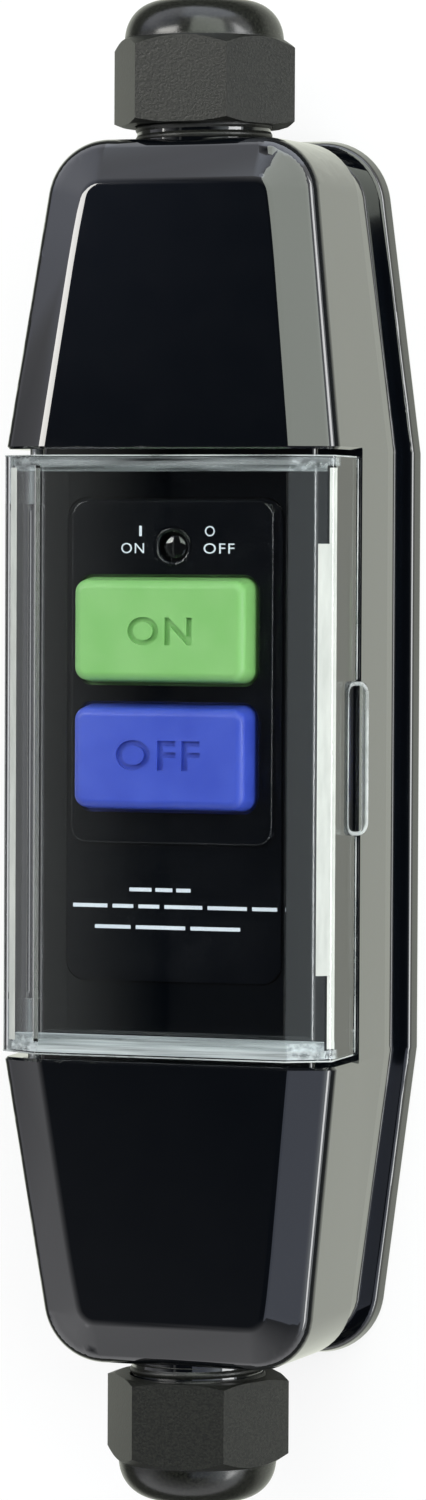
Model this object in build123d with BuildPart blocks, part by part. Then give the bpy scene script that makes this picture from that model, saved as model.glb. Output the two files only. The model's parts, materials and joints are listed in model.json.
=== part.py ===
from build123d import *
import math
import os

os.makedirs("parts", exist_ok=True)

# The device lies on its back: X goes across it, Y along the cable and Z out of its front face.
# All sizes are in millimetres. A gap is what two neighbouring pieces keep between them.

# Housing seen from the front: straight in the middle, narrower towards both cable ends
middle_half = 44.5
end_half = 90.2
end_taper = 0.13
end_radius = 9.0
front_half_width = 25.9
side_draft = 0.02
wall = 2.4

# Housing heights above the back face
parting_height = 14.1
shoulder_height = 26.6
platform_height = 34.6
section_height = 40.9
section_slope = 0.12
axis_height = 23.0

# Bevel round each sloping end section, and the rounding of its edges
bevel_width = 6.4
bevel_drop = 2.3
bevel_inner_round = 3.3
bevel_outer_round = 2.4
section_edge_bevel = 0.4

# Rear shell
flange_thickness = 3.0
flange_overhang = 0.7
flange_flare = 0.6
flange_round = 0.6
flange_edge_round = 0.9
groove_depth = 0.9
floor_thickness = 2.4
gasket_thickness = 0.6
lip_height = 2.0
lip_wall = 1.2
lip_gap = 0.3
gasket_inset = 1.2

# Raised platform under the cover and the button panel seated in it
platform_margin = 4.6
platform_round = 1.0
platform_wall = 3.0
panel_x = -0.1
panel_margin = 1.0
panel_above_field = 0.25
label_length = 20.15
panel_radius = 3.0
panel_proud = 0.4
panel_thickness = 1.2
panel_gap = 0.2
panel_gasket_thickness = 0.6
panel_ledge = 1.3
field_x = -0.2
field_margin = 1.9
field_above = 11.1
field_below = 4.8
field_rise = 1.0
field_wall = 1.6
field_round = 0.3

# Buttons
button_x = -0.8
reset_y = 18.25
test_y = -0.25
button_size = (27.0, 15.6)
button_draft = 0.6
button_radius = 1.9
button_round = 1.3
button_top = 40.4
button_gap = 0.3
button_travel = 2.0
button_flange = 0.6
button_skin = 2.0
button_web = 8.0
button_flange_thickness = 1.2
stem_radius = 2.5

# Round indicator
indicator_place = (-0.2, 30.35)
indicator_radius = 3.05
indicator_depth = 2.1
collar_radius = 3.3
collar_length = 1.4
lens_radius = 1.95
lens_flange = 0.9
lens_gap = 0.05
lens_thickness = 0.7
flag_travel = 5.0
flag_size = (4.6, 5.0)
flag_thickness = 0.6
slider_thickness = 1.3
slider_gap = 0.1
slider_overlap = 0.3
lens_proud = 0.9
lens_round = 0.3

# Clear flip cover
cover_end_gap = 0.9
cover_top = 42.6
cover_half_width = 25.2
cover_wall = 1.6
cover_bevel_width = 6.0
cover_bevel_drop = 3.7
cover_round = 0.9
cover_end_wall = 1.5
cover_gap = 0.4
cover_tab_length = 22.4
cover_tab_reach = 1.3
cover_tab_height = 2.2
cover_rib_length = 60.6
cover_rib_depth = 1.1
cover_rib_height = 10.0
hinge_rise = 2.4
hinge_inset = 1.7
barrel_radius = 1.9
pin_radius = 1.0
pin_gap = 0.06
pin_depth = 2.0
barrel_length = 8.0

# Threaded spouts moulded on the front shell, and the gland pieces on them
spout_radius = 9.85
spout_length = 10.8
spout_bore = 6.8
spout_mouth_radius = 8.2
spout_mouth_depth = 4.0
nut_across_flats = 24.0
nut_start = 1.9
nut_hex_length = 12.7
nut_dome_length = 5.7
nut_dome_radius = 11.7
nut_hole_radius = 5.2
nut_chamfer = 1.0
nut_gap = 0.3
nut_turn_top = -1.3
nut_turn_bottom = -3.8
claw_gap = 0.35
claw_collar = 1.6
claw_slots = 8
claw_slot_width = 0.9
claw_length = 5.4
claw_nose_radius = 7.3
claw_root_radius = 8.6
seal_bore = 4.8
seal_gap = 0.3
seal_length = 9.4

# Case screws
screw_place = (15.8, 70.0)
screw_radius = 1.5
screw_head_radius = 2.8
screw_head_height = 2.0
screw_recess_depth = 4.0
screw_boss_radius = 3.2
screw_boss_split = 16.2
screw_length = 17.0
screw_gap = 0.2
screw_recess_gap = 0.3
screw_slot_width = 0.8
screw_slot_depth = 1.0

# Circuit board
board_size = (38.0, 86.0)
board_height = 8.0
board_thickness = 1.6
board_screw_place = (16.0, 39.6)
standoff_radius = 2.6
board_screw_radius = 0.9
board_screw_head = 1.9
board_screw_head_height = 1.2
board_screw_length = 6.0

# Mechanism frame that stands on the board and carries the springs and the latch
frame_low_y = -10.0
frame_high_y = 27.2
frame_side = 0.5
frame_top = 26.0
frame_wall = 1.4
guide_gap = 0.08
stem_end = 15.9
shelf_reach = 6.5
shelf_rise = 2.6
shelf_thickness = 1.4
shelf_side = 1.3

# Contacts
contact_travel = 1.2
contact_inset = 5.7
contact_pitch = 7.6
contact_width = 3.0
contact_thickness = 0.8
rivet_radius = 1.3
rivet_height = 0.6
fixed_contact_height = 0.4
carrier_thickness = 2.2
carrier_gap = 0.3

# Latch plate, solenoid and its plunger
latch_travel = 3.0
latch_height = 17.0
latch_thickness = 1.0
latch_half_width = 4.0
latch_ahead = 5.0
stem_groove_radius = 1.7
latch_slot_gap = 0.3
leaf_rise = 1.9
leaf_gap = 0.6
leaf_from_wall = 0.8
leaf_thickness = 0.2
leaf_width = 3.0
solenoid_y = -21.0
solenoid_length = 17.0
solenoid_half_width = 7.0
solenoid_plate = 1.2
coil_radius = 5.6
plunger_radius = 2.2
plunger_gap = 0.08

# Current transformer
ring_y = 38.0
ring_radius = 10.0
ring_bore = 5.0
ring_length = 7.6

# Small parts on the board: their middle and their size
capacitor_place = (-5.5, -36.5)
capacitor_size = (15.5, 8.5, 13.0)
varistor_place = (8.6, -36.5)
varistor_radius = 5.0
varistor_thickness = 4.0
varistor_leg_spread = 5.0
varistor_leg_radius = 0.5
chip_place = (-12.4, -20.5)
chip_size = (3.9, 9.9, 1.7)
chip_leg_span = 6.0
chip_leg_pitch = 1.27
chip_leg_width = 0.45
resistor_place = (9.4, -20.5)
resistor_radius = 1.3
resistor_length = 6.4
resistor_leg_span = 9.2
resistor_leg_radius = 0.35

# Springs
spring_wire = 0.3
button_spring_radius = 4.0
contact_spring_radius = 1.9
plunger_spring_radius = 3.2

# Terminals and wires
terminal_y = 60.0
terminal_size = (24.4, 12.0)
terminal_low = 4.5
terminal_high = 19.0
terminal_pitch = 8.0
wire_hole_radius = 1.8
wire_height = 11.5
clamp_size = (6.0, 8.4, 7.0)
clamp_gap = 0.2
clamp_bore = 1.6
terminal_screw_radius = 1.4
terminal_screw_head = 2.2
wire_radius = 1.2
wire_bend = 3.0
line_spread = 1.7
load_reach = 16.8
load_height = 13.9
earth_height = 5.4

far = 60.0
field_low = test_y - button_size[1] / 2 - field_below
field_high = reset_y + button_size[1] / 2 + field_above
field_size = (button_size[0] + 2 * field_margin, field_high - field_low)
field_center = (field_x, (field_low + field_high) / 2)
panel_low = field_low - label_length
panel_high = field_high + panel_above_field
panel_size = (field_size[0] + 2 * panel_margin, panel_high - panel_low)
panel_center = (panel_x, (panel_low + panel_high) / 2)
platform_half_width = panel_size[0] / 2 + platform_margin
frame_half_width = button_size[0] / 2 + frame_side
contact_spread = button_size[0] / 2 - contact_inset
shelf_height = frame_top + shelf_rise
hinge_height = shoulder_height + hinge_rise
cover_half_length = middle_half - cover_end_gap
nut_corner_radius = nut_across_flats / math.sqrt(3)
rear_wall_top = parting_height - gasket_thickness
board_top = board_height + board_thickness
panel_top = platform_height + panel_proud
pocket_floor = panel_top - panel_thickness - panel_gasket_thickness
field_top = panel_top + field_rise
field_under = field_top - field_wall
collar_bottom = field_under - collar_length
flange_top = field_under - button_gap
flange_bottom = flange_top - button_flange_thickness
frame_center_y = (frame_low_y + frame_high_y) / 2
carrier_bottom = board_top + fixed_contact_height + 2 * rivet_height + contact_travel + contact_thickness + 0.2
carrier_top = carrier_bottom + carrier_thickness
hinge_x = -cover_half_width + hinge_inset
cover_bottom = shoulder_height + cover_gap
mouth = end_half + spout_length
nut_inner = end_half + nut_start
nut_hex_end = nut_inner + nut_hex_length
nut_end = nut_hex_end + nut_dome_length
ring_height = board_top + ring_radius + 0.4
latch_middle = latch_height + latch_thickness / 2
leaf_top = latch_height + latch_thickness + leaf_rise
flag_height = shelf_height + shelf_thickness + slider_gap + slider_thickness


def body_outline(half_width, end, radius, height):
    """Long outline with straight middle sides and sides that turn in towards rounded ends."""
    narrow = half_width - end_taper * (end - middle_half)
    with BuildSketch(Plane.XY.offset(height)) as outline:
        with BuildLine():
            Polyline(
                (half_width, -middle_half),
                (half_width, middle_half),
                (narrow, end),
                (-narrow, end),
                (-half_width, middle_half),
                (-half_width, -middle_half),
                (-narrow, -end),
                (narrow, -end),
                close=True,
            )
        make_face()
        by_y = outline.vertices().group_by(Axis.Y)
        fillet(by_y[0] + by_y[-1], radius)
    return outline.sketch


def front_outline(inset, height):
    """The front shell's outline at a height, drawn in by the draft and by an inset."""
    drawn_in = side_draft * (height - parting_height) + inset
    return body_outline(front_half_width - drawn_in, end_half - drawn_in, end_radius - inset / 2, height)


def above_sections(lowered):
    """Everything above the sloping tops of both end sections, seen from the side."""
    high = section_height - lowered
    low = high - section_slope * far
    with BuildSketch(Plane.YZ) as side_view:
        with BuildLine():
            Polyline(
                (middle_half, high),
                (middle_half + far, low),
                (middle_half + far, section_height + far),
                (-middle_half - far, section_height + far),
                (-middle_half - far, low),
                (-middle_half, high),
                close=True,
            )
        make_face()
    return side_view.sketch


def section_faces(shell, side, low, high):
    """Faces of one end section whose outward direction rises between two values."""
    faces = shell.faces().filter_by(lambda f: side * f.center().Y > middle_half + 0.1)
    return faces.filter_by(lambda f: low < f.normal_at().Z <= high)


def along_cable(side, start):
    """A plane across the cable axis, facing outwards at one end."""
    return Plane(origin=(0, side * start, axis_height), x_dir=(1, 0, 0), z_dir=(0, side, 0))


def turned(side, points, mode=Mode.ADD):
    """A body of revolution round the cable axis, from points of radius and place along it."""
    with BuildSketch(Plane.XY.offset(axis_height)) as half_section:
        with BuildLine():
            Polyline(*[(radius, side * place) for radius, place in points], close=True)
        make_face()
    revolve(half_section.sketch, axis=Axis((0, 0, axis_height), (0, 1, 0)), mode=mode)


def save(piece, name):
    """Names a finished piece and writes it to its own file."""
    piece.part.label = name
    export_step(piece.part, f"parts/{name}.step")


# Front shell: hollow inside, sunk middle, two sloping bevelled end sections and two spouts
with BuildPart() as front_cavity:
    loft([front_outline(wall, parting_height - 1), front_outline(wall, section_height)], ruled=True)
    extrude(above_sections(wall), amount=far, both=True, mode=Mode.SUBTRACT)
    with BuildSketch(Plane.XY.offset(platform_height - platform_wall)):
        Rectangle(far, 2 * (middle_half + wall))
    extrude(amount=far, mode=Mode.SUBTRACT)
    with BuildSketch(Plane.XY.offset(shoulder_height - wall)):
        Rectangle(2 * far, 2 * (middle_half + wall))
        Rectangle(2 * (platform_half_width - wall), 2 * far, mode=Mode.SUBTRACT)
    extrude(amount=far, mode=Mode.SUBTRACT)

with BuildPart() as front_shell:
    loft([front_outline(0, parting_height), front_outline(0, section_height)], ruled=True)
    extrude(above_sections(0), amount=far, both=True, mode=Mode.SUBTRACT)
    with BuildSketch(Plane.XY.offset(shoulder_height)):
        Rectangle(2 * far, 2 * middle_half)
    extrude(amount=far, mode=Mode.SUBTRACT)
    for side in (1, -1):
        sloped = section_faces(front_shell, side, 0.9, 1)[0]
        rim = sloped.edges().filter_by(lambda e: side * e.center().Y > middle_half + 0.1)
        chamfer(rim, length=bevel_width, length2=bevel_drop, reference=sloped)
        outer_rim = section_faces(front_shell, side, -0.1, 0.1).edges()
        fillet(outer_rim & section_faces(front_shell, side, 0.7, 0.985).edges(), bevel_outer_round)
        inner_rim = section_faces(front_shell, side, 0.985, 1).edges()
        fillet(inner_rim & section_faces(front_shell, side, 0.7, 0.985).edges(), bevel_inner_round)
        inner_wall = front_shell.faces().filter_by(lambda f: abs(f.center().Y - side * middle_half) < 0.01)
        chamfer(inner_wall.edges().filter_by(lambda e: e.center().Z > platform_height), section_edge_bevel)
    with BuildSketch(Plane.XZ) as platform_section:
        with Locations((0, platform_height)):
            Rectangle(2 * platform_half_width, platform_height - shoulder_height + 1,
                      align=(Align.CENTER, Align.MAX))
        fillet(platform_section.vertices().group_by(Axis.Y)[-1], platform_round)
    extrude(amount=middle_half + wall, both=True)
    add(front_cavity.part, mode=Mode.SUBTRACT)
    # Bosses for the case screws
    with BuildSketch(Plane.XY.offset(screw_boss_split + screw_gap)):
        with GridLocations(2 * screw_place[0], 2 * screw_place[1], 2, 2):
            Circle(screw_boss_radius)
    extrude(amount=section_height - section_slope * (screw_place[1] - middle_half) - wall - screw_boss_split)
    # Spouts
    for side in (1, -1):
        turned(side, ((0, end_half - wall - 0.5), (spout_radius, end_half - wall - 0.5),
                      (spout_radius, mouth), (0, mouth)))
        turned(side, ((0, end_half - wall - 1), (spout_bore, end_half - wall - 1),
                      (spout_bore, mouth - spout_mouth_depth), (spout_mouth_radius, mouth - spout_mouth_depth),
                      (spout_mouth_radius, mouth + 1), (0, mouth + 1)), mode=Mode.SUBTRACT)
    # Pilot holes in the bosses
    with BuildSketch(Plane.XY.offset(screw_boss_split)):
        with GridLocations(2 * screw_place[0], 2 * screw_place[1], 2, 2):
            Circle(screw_radius + screw_gap)
    extrude(amount=screw_length - 2, mode=Mode.SUBTRACT)
    # Pocket and window for the button panel
    with BuildSketch(Plane.XY.offset(pocket_floor)):
        with Locations(panel_center):
            RectangleRounded(panel_size[0] + 2 * panel_gap, panel_size[1] + 2 * panel_gap, panel_radius)
    extrude(amount=far, mode=Mode.SUBTRACT)
    with BuildSketch(Plane.XY.offset(platform_height - platform_wall - 1)):
        with Locations(panel_center):
            RectangleRounded(panel_size[0] - 2 * panel_ledge, panel_size[1] - 2 * panel_ledge, panel_radius)
    extrude(amount=far, mode=Mode.SUBTRACT)
    # Blind holes for the hinge pins in the walls of the end sections
    with BuildSketch(Plane.XZ.offset(-middle_half - pin_depth)):
        with Locations((hinge_x, hinge_height)):
            Circle(pin_radius + pin_gap)
    extrude(amount=2 * (middle_half + pin_depth), mode=Mode.SUBTRACT)
save(front_shell, "front_shell")

# Rear shell: wide back rim, sunk groove below the parting, floor, lip, bosses and standoffs
rim_half_width = front_half_width + flange_overhang
lip_outer = wall + lip_gap
lip_inner = lip_outer + lip_wall
with BuildPart() as rear_shell:
    loft([
        body_outline(rim_half_width + flange_flare, end_half + flange_overhang + flange_flare,
                     end_radius + flange_overhang + flange_flare, 0),
        body_outline(rim_half_width, end_half + flange_overhang, end_radius + flange_overhang,
                     flange_thickness),
    ], ruled=True)
    fillet(rear_shell.faces().sort_by(Axis.Z)[0].edges(), flange_round)
    fillet(rear_shell.faces().sort_by(Axis.Z)[-1].edges(), flange_edge_round)
    extrude(
        body_outline(front_half_width - groove_depth, end_half - groove_depth, end_radius - groove_depth,
                     flange_thickness),
        amount=rear_wall_top - flange_thickness,
    )
    extrude(
        body_outline(front_half_width - lip_outer, end_half - lip_outer, end_radius - lip_outer / 2,
                     flange_thickness),
        amount=parting_height + lip_height - flange_thickness,
    )
    extrude(
        body_outline(front_half_width - lip_inner, end_half - lip_inner, end_radius - lip_inner / 2,
                     floor_thickness),
        amount=far,
        mode=Mode.SUBTRACT,
    )
    # Terminal rests, board standoffs and screw bosses
    with BuildSketch(Plane.XY.offset(floor_thickness - 0.1)):
        with Locations((0, terminal_y), (0, -terminal_y)):
            Rectangle(terminal_size[0] - 4, terminal_size[1] - 2)
    extrude(amount=terminal_low - floor_thickness + 0.1)
    with BuildSketch(Plane.XY.offset(floor_thickness - 0.1)):
        with GridLocations(2 * board_screw_place[0], 2 * board_screw_place[1], 2, 2):
            Circle(standoff_radius)
    extrude(amount=board_height - floor_thickness + 0.1)
    with BuildSketch(Plane.XY.offset(floor_thickness - 0.1)):
        with GridLocations(2 * screw_place[0], 2 * screw_place[1], 2, 2):
            Circle(screw_boss_radius)
    extrude(amount=screw_boss_split - floor_thickness + 0.1)
    with BuildSketch(Plane.XY.offset(floor_thickness - 0.1)):
        with GridLocations(2 * screw_place[0], 2 * screw_place[1], 2, 2):
            Circle(screw_head_radius + screw_recess_gap + 1.2)
    extrude(amount=screw_recess_depth - floor_thickness + 1.6)
    # Recesses and holes from the back
    with BuildSketch(Plane.XY):
        with GridLocations(2 * screw_place[0], 2 * screw_place[1], 2, 2):
            Circle(screw_head_radius + screw_recess_gap)
    extrude(amount=screw_recess_depth, mode=Mode.SUBTRACT)
    with BuildSketch(Plane.XY):
        with GridLocations(2 * screw_place[0], 2 * screw_place[1], 2, 2):
            Circle(screw_radius + screw_gap)
    extrude(amount=far, mode=Mode.SUBTRACT)
    with BuildSketch(Plane.XY.offset(board_height - board_screw_length + board_thickness - 0.4)):
        with GridLocations(2 * board_screw_place[0], 2 * board_screw_place[1], 2, 2):
            Circle(board_screw_radius + 0.1)
    extrude(amount=far, mode=Mode.SUBTRACT)
    # Notches under the spouts
    for side in (1, -1):
        turned(side, ((0, end_half - wall - 1.5), (spout_radius + nut_gap, end_half - wall - 1.5),
                      (spout_radius + nut_gap, end_half + 1), (0, end_half + 1)), mode=Mode.SUBTRACT)
save(rear_shell, "rear_shell")

# Seal in the parting groove
gasket_inner = front_half_width - lip_outer + 0.2
with BuildPart() as shell_gasket:
    extrude(
        body_outline(front_half_width - gasket_inset, end_half - gasket_inset, end_radius - gasket_inset,
                     rear_wall_top),
        amount=gasket_thickness,
    )
    extrude(
        body_outline(gasket_inner, end_half - lip_outer + 0.2, end_radius - lip_outer / 2, rear_wall_top),
        amount=gasket_thickness,
        mode=Mode.SUBTRACT,
    )
    for side in (1, -1):
        turned(side, ((0, end_half - wall - 1.5), (spout_radius + nut_gap, end_half - wall - 1.5),
                      (spout_radius + nut_gap, end_half + 1), (0, end_half + 1)), mode=Mode.SUBTRACT)
save(shell_gasket, "shell_gasket")

# Screws that hold the shells together, put in from the back
with BuildPart() as case_screws:
    with BuildSketch(Plane.XY.offset(screw_recess_depth - screw_head_height)):
        with GridLocations(2 * screw_place[0], 2 * screw_place[1], 2, 2):
            Circle(screw_head_radius)
    extrude(amount=screw_head_height)
    with BuildSketch(Plane.XY.offset(screw_recess_depth)):
        with GridLocations(2 * screw_place[0], 2 * screw_place[1], 2, 2):
            Circle(screw_radius)
    extrude(amount=screw_length)
    with BuildSketch(Plane.XY.offset(screw_recess_depth - screw_head_height)):
        with GridLocations(2 * screw_place[0], 2 * screw_place[1], 2, 2):
            Rectangle(1.3 * screw_head_radius, screw_slot_width)
            Rectangle(screw_slot_width, 1.3 * screw_head_radius)
    extrude(amount=screw_slot_depth, mode=Mode.SUBTRACT)
save(case_screws, "case_screws")

# Clear flip cover: bevelled trough with end walls, hinge barrels, a finger tab and an inner rib
with BuildPart() as flip_cover:
    with BuildSketch(Plane.XZ) as cover_section:
        with BuildLine():
            Polyline(
                (-cover_half_width, cover_bottom),
                (-cover_half_width, cover_top - cover_bevel_drop),
                (-cover_half_width + cover_bevel_width, cover_top),
                (cover_half_width - cover_bevel_width, cover_top),
                (cover_half_width, cover_top - cover_bevel_drop),
                (cover_half_width, cover_bottom),
                close=True,
            )
        make_face()
    extrude(amount=cover_half_length, both=True)
    fillet(flip_cover.edges().filter_by(Axis.Y).group_by(Axis.Z)[1:], cover_round)
    with BuildSketch(Plane.XZ) as cover_inside:
        add(cover_section.sketch)
        offset(amount=-cover_wall, kind=Kind.INTERSECTION, mode=Mode.REPLACE)
        with Locations((0, cover_bottom)):
            Rectangle(2 * (cover_half_width - cover_wall), 4 * cover_wall)
    extrude(amount=cover_half_length - cover_end_wall, both=True, mode=Mode.SUBTRACT)
    # The end walls stop above the platform
    with BuildSketch(Plane.XZ):
        with Locations((0, platform_height + cover_gap)):
            Rectangle(2 * (cover_half_width - cover_wall), far, align=(Align.CENTER, Align.MAX))
    extrude(amount=cover_half_length, both=True, mode=Mode.SUBTRACT)
    # The hinged side stops at the barrels
    with BuildSketch(Plane.XZ):
        with Locations((-cover_half_width, hinge_height - 1)):
            Rectangle(4 * cover_wall, far, align=(Align.CENTER, Align.MAX))
    extrude(amount=cover_half_length, both=True, mode=Mode.SUBTRACT)
    with BuildSketch(Plane.XZ):
        with Locations((hinge_x, hinge_height)):
            Circle(barrel_radius)
    extrude(amount=cover_half_length, both=True)
    with BuildSketch(Plane.XZ):
        with Locations((hinge_x, hinge_height)):
            Rectangle(2 * (cover_half_width + hinge_x), 4 * barrel_radius)
    extrude(amount=cover_half_length - barrel_length, both=True, mode=Mode.SUBTRACT)
    with BuildSketch(Plane.XZ):
        with Locations((-cover_half_width + cover_wall / 2, hinge_height - 1)):
            Rectangle(cover_wall, 2 * barrel_radius + 1, align=(Align.CENTER, Align.MIN))
    extrude(amount=cover_half_length - barrel_length, both=True)
    with BuildSketch(Plane.XZ):
        with Locations((hinge_x, hinge_height)):
            Circle(pin_radius + pin_gap)
    extrude(amount=cover_half_length, both=True, mode=Mode.SUBTRACT)
    # Finger tab and stiffening rib on the opening side
    with BuildSketch(Plane.XY.offset(cover_bottom)):
        with Locations((cover_half_width + cover_tab_reach / 2 - 0.4, test_y)):
            RectangleRounded(cover_tab_reach + 0.8, cover_tab_length, cover_tab_reach / 2)
    extrude(amount=cover_tab_height)
    with BuildSketch(Plane.XY.offset(cover_top - cover_bevel_drop - cover_rib_height)):
        with Locations((cover_half_width - cover_wall, 0)):
            Rectangle(cover_rib_depth, cover_rib_length, align=(Align.MAX, Align.CENTER))
    extrude(amount=cover_rib_height)
save(flip_cover, "flip_cover")

# Steel pins in the end sections' walls that carry the cover
with BuildPart() as hinge_pins:
    for side in (1, -1):
        with BuildSketch(Plane(origin=(hinge_x, side * (cover_half_length - barrel_length + 1), hinge_height),
                               x_dir=(1, 0, 0), z_dir=(0, side, 0))):
            Circle(pin_radius)
        extrude(amount=middle_half + pin_depth - pin_gap - cover_half_length + barrel_length - 1)
save(hinge_pins, "hinge_pins")

# Button panel: rounded plate with a raised field, two windows and a funnel for the indicator
field_hollow = (field_size[0] - 2 * button_flange, field_size[1] - 2 * button_flange)
with BuildPart() as button_panel:
    with BuildSketch(Plane.XY.offset(panel_top - panel_thickness)):
        with Locations(panel_center):
            RectangleRounded(panel_size[0], panel_size[1], panel_radius)
    extrude(amount=panel_thickness)
    with BuildSketch(Plane.XY.offset(panel_top)):
        with Locations(field_center):
            RectangleRounded(field_size[0], field_size[1], panel_radius - 0.6)
    extrude(amount=field_rise)
    fillet(button_panel.faces().sort_by(Axis.Z)[-1].edges(), field_round)
    with BuildSketch(Plane.XY.offset(panel_top - panel_thickness)):
        with Locations(field_center):
            RectangleRounded(field_hollow[0], field_hollow[1], panel_radius - 1)
    extrude(amount=field_under - panel_top + panel_thickness, mode=Mode.SUBTRACT)
    with BuildSketch(Plane.XY.offset(field_under)):
        with Locations((button_x, reset_y), (button_x, test_y)):
            RectangleRounded(button_size[0] + 2 * button_gap, button_size[1] + 2 * button_gap,
                             button_radius + button_gap)
    extrude(amount=far, mode=Mode.SUBTRACT)
    with BuildSketch(Plane.XY.offset(collar_bottom)):
        with Locations(indicator_place):
            Circle(collar_radius)
    extrude(amount=collar_length + field_wall / 2)
    with BuildSketch(Plane.XY.offset(collar_bottom)):
        with Locations(indicator_place):
            Circle(lens_radius + lens_gap)
    extrude(amount=far, mode=Mode.SUBTRACT)
    with BuildSketch(Plane.XY.offset(field_top - indicator_depth)):
        with Locations(indicator_place):
            Circle(lens_radius + 0.2)
    with BuildSketch(Plane.XY.offset(field_top)):
        with Locations(indicator_place):
            Circle(indicator_radius)
    loft(mode=Mode.SUBTRACT)
save(button_panel, "button_panel")

with BuildPart() as panel_gasket:
    with BuildSketch(Plane.XY.offset(pocket_floor)):
        with Locations(panel_center):
            RectangleRounded(panel_size[0], panel_size[1], panel_radius)
            RectangleRounded(panel_size[0] - 2 * panel_ledge + 0.4, panel_size[1] - 2 * panel_ledge + 0.4,
                             panel_radius, mode=Mode.SUBTRACT)
    extrude(amount=panel_gasket_thickness)
save(panel_gasket, "panel_gasket")

with BuildPart() as indicator_lens:
    with BuildSketch(Plane.XY.offset(collar_bottom - lens_thickness)):
        with Locations(indicator_place):
            Circle(lens_radius + lens_flange)
    extrude(amount=lens_thickness)
    with BuildSketch(Plane.XY.offset(collar_bottom)):
        with Locations(indicator_place):
            Circle(lens_radius)
    extrude(amount=lens_proud)
    fillet(indicator_lens.edges().sort_by(Axis.Z)[-1], lens_round)
save(indicator_lens, "indicator_lens")


def add_button(y):
    """Drafted cap with rounded edges, a retaining flange and two pockets from below."""
    top = (button_size[0] - 2 * button_draft, button_size[1] - 2 * button_draft)
    with BuildPart() as button:
        with BuildSketch(Plane.XY.offset(flange_top)):
            with Locations((button_x, y)):
                RectangleRounded(button_size[0], button_size[1], button_radius)
        with BuildSketch(Plane.XY.offset(button_top)):
            with Locations((button_x, y)):
                RectangleRounded(top[0], top[1], button_radius)
        loft(ruled=True)
        fillet(button.faces().sort_by(Axis.Z)[-1].edges(), button_round)
        with BuildSketch(Plane.XY.offset(flange_bottom)):
            with Locations((button_x, y)):
                RectangleRounded(button_size[0] + 2 * button_flange, button_size[1] + 2 * button_flange,
                                 button_radius)
        extrude(amount=button_flange_thickness)
        with BuildSketch(Plane.XY.offset(flange_bottom)):
            with Locations((button_x, y)):
                with GridLocations(button_size[0] - 2 * button_skin - button_web / 2, 0, 2, 1):
                    Rectangle((button_size[0] - 4 * button_skin - button_web) / 2, button_size[1] - 4)
        extrude(amount=button_top - button_skin - flange_bottom, mode=Mode.SUBTRACT)
    return button.part


# Reset button: its stem has a groove that the latch plate holds
with BuildPart() as reset_button:
    add(add_button(reset_y))
    with BuildSketch(Plane.XY.offset(stem_end)):
        with Locations((button_x, reset_y)):
            Circle(stem_radius)
    extrude(amount=flange_bottom - stem_end + 0.1)
    with BuildSketch(Plane.XY.offset(latch_height - button_gap)):
        with Locations((button_x, reset_y)):
            Circle(stem_radius + 1)
            Circle(stem_groove_radius, mode=Mode.SUBTRACT)
    extrude(amount=latch_thickness + button_travel + 2.4 * button_gap, mode=Mode.SUBTRACT)
save(reset_button, "reset_button")

# Test button: its short stem presses the test leaf
test_stem_end = leaf_top + leaf_gap + button_travel
with BuildPart() as test_button:
    add(add_button(test_y))
    with BuildSketch(Plane.XY.offset(test_stem_end)):
        with Locations((button_x, test_y)):
            Circle(stem_radius)
    extrude(amount=flange_bottom - test_stem_end + 0.1)
save(test_button, "test_button")


def coil_spring(name, start, direction, length, radius, turns):
    """A round wire wound in an open helix, from just above its seat to just below the other."""
    with BuildPart() as spring:
        with BuildLine() as path:
            Helix(
                pitch=(length - 2.6 * spring_wire) / turns,
                height=length - 2.6 * spring_wire,
                radius=radius,
                center=tuple(s + 1.3 * spring_wire * d for s, d in zip(start, direction)),
                direction=direction,
            )
        with BuildSketch(Plane(origin=path.line @ 0, z_dir=path.line % 0)):
            Circle(spring_wire)
        sweep()
    save(spring, name)


coil_spring("reset_spring", (button_x, reset_y, frame_top), (0, 0, 1), flange_bottom - frame_top,
            button_spring_radius, 3)
coil_spring("test_spring", (button_x, test_y, frame_top), (0, 0, 1), flange_bottom - frame_top,
            button_spring_radius, 3)

# Mechanism frame: an upturned box on the board with guides for both stems and a shelf for the flag
shelf_width = 2 * flag_travel + flag_size[0] + 2 * shelf_side
with BuildPart() as mechanism_frame:
    with BuildSketch(Plane.XY.offset(board_top)):
        with Locations((button_x, frame_center_y)):
            Rectangle(2 * frame_half_width, frame_high_y - frame_low_y)
    extrude(amount=frame_top - board_top)
    fillet(mechanism_frame.edges().filter_by(Axis.Z), 1)
    with BuildSketch(Plane.XY.offset(board_top)):
        with Locations((button_x, frame_center_y)):
            Rectangle(2 * (frame_half_width - frame_wall), frame_high_y - frame_low_y - 2 * frame_wall)
    extrude(amount=frame_top - board_top - frame_wall, mode=Mode.SUBTRACT)
    with BuildSketch(Plane.XY.offset(frame_top - frame_wall)):
        with Locations((button_x, reset_y), (button_x, test_y)):
            Circle(stem_radius + guide_gap)
    extrude(amount=far, mode=Mode.SUBTRACT)
    with BuildSketch(Plane.XZ.offset(-frame_low_y - frame_wall - 1)):
        with Locations((button_x, latch_middle)):
            Circle(plunger_radius + 0.5)
    extrude(amount=frame_wall + 2, mode=Mode.SUBTRACT)
    with BuildSketch(Plane.XY.offset(frame_top - frame_wall)):
        with Locations((indicator_place[0], frame_high_y)):
            Rectangle(shelf_width, frame_wall, align=(Align.CENTER, Align.MAX))
    extrude(amount=shelf_height - frame_top + 2 * frame_wall)
    with BuildSketch(Plane.XY.offset(shelf_height)):
        with Locations((indicator_place[0], frame_high_y - frame_wall)):
            Rectangle(shelf_width, shelf_reach + frame_wall, align=(Align.CENTER, Align.MIN))
    extrude(amount=shelf_thickness)
save(mechanism_frame, "mechanism_frame")

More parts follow.
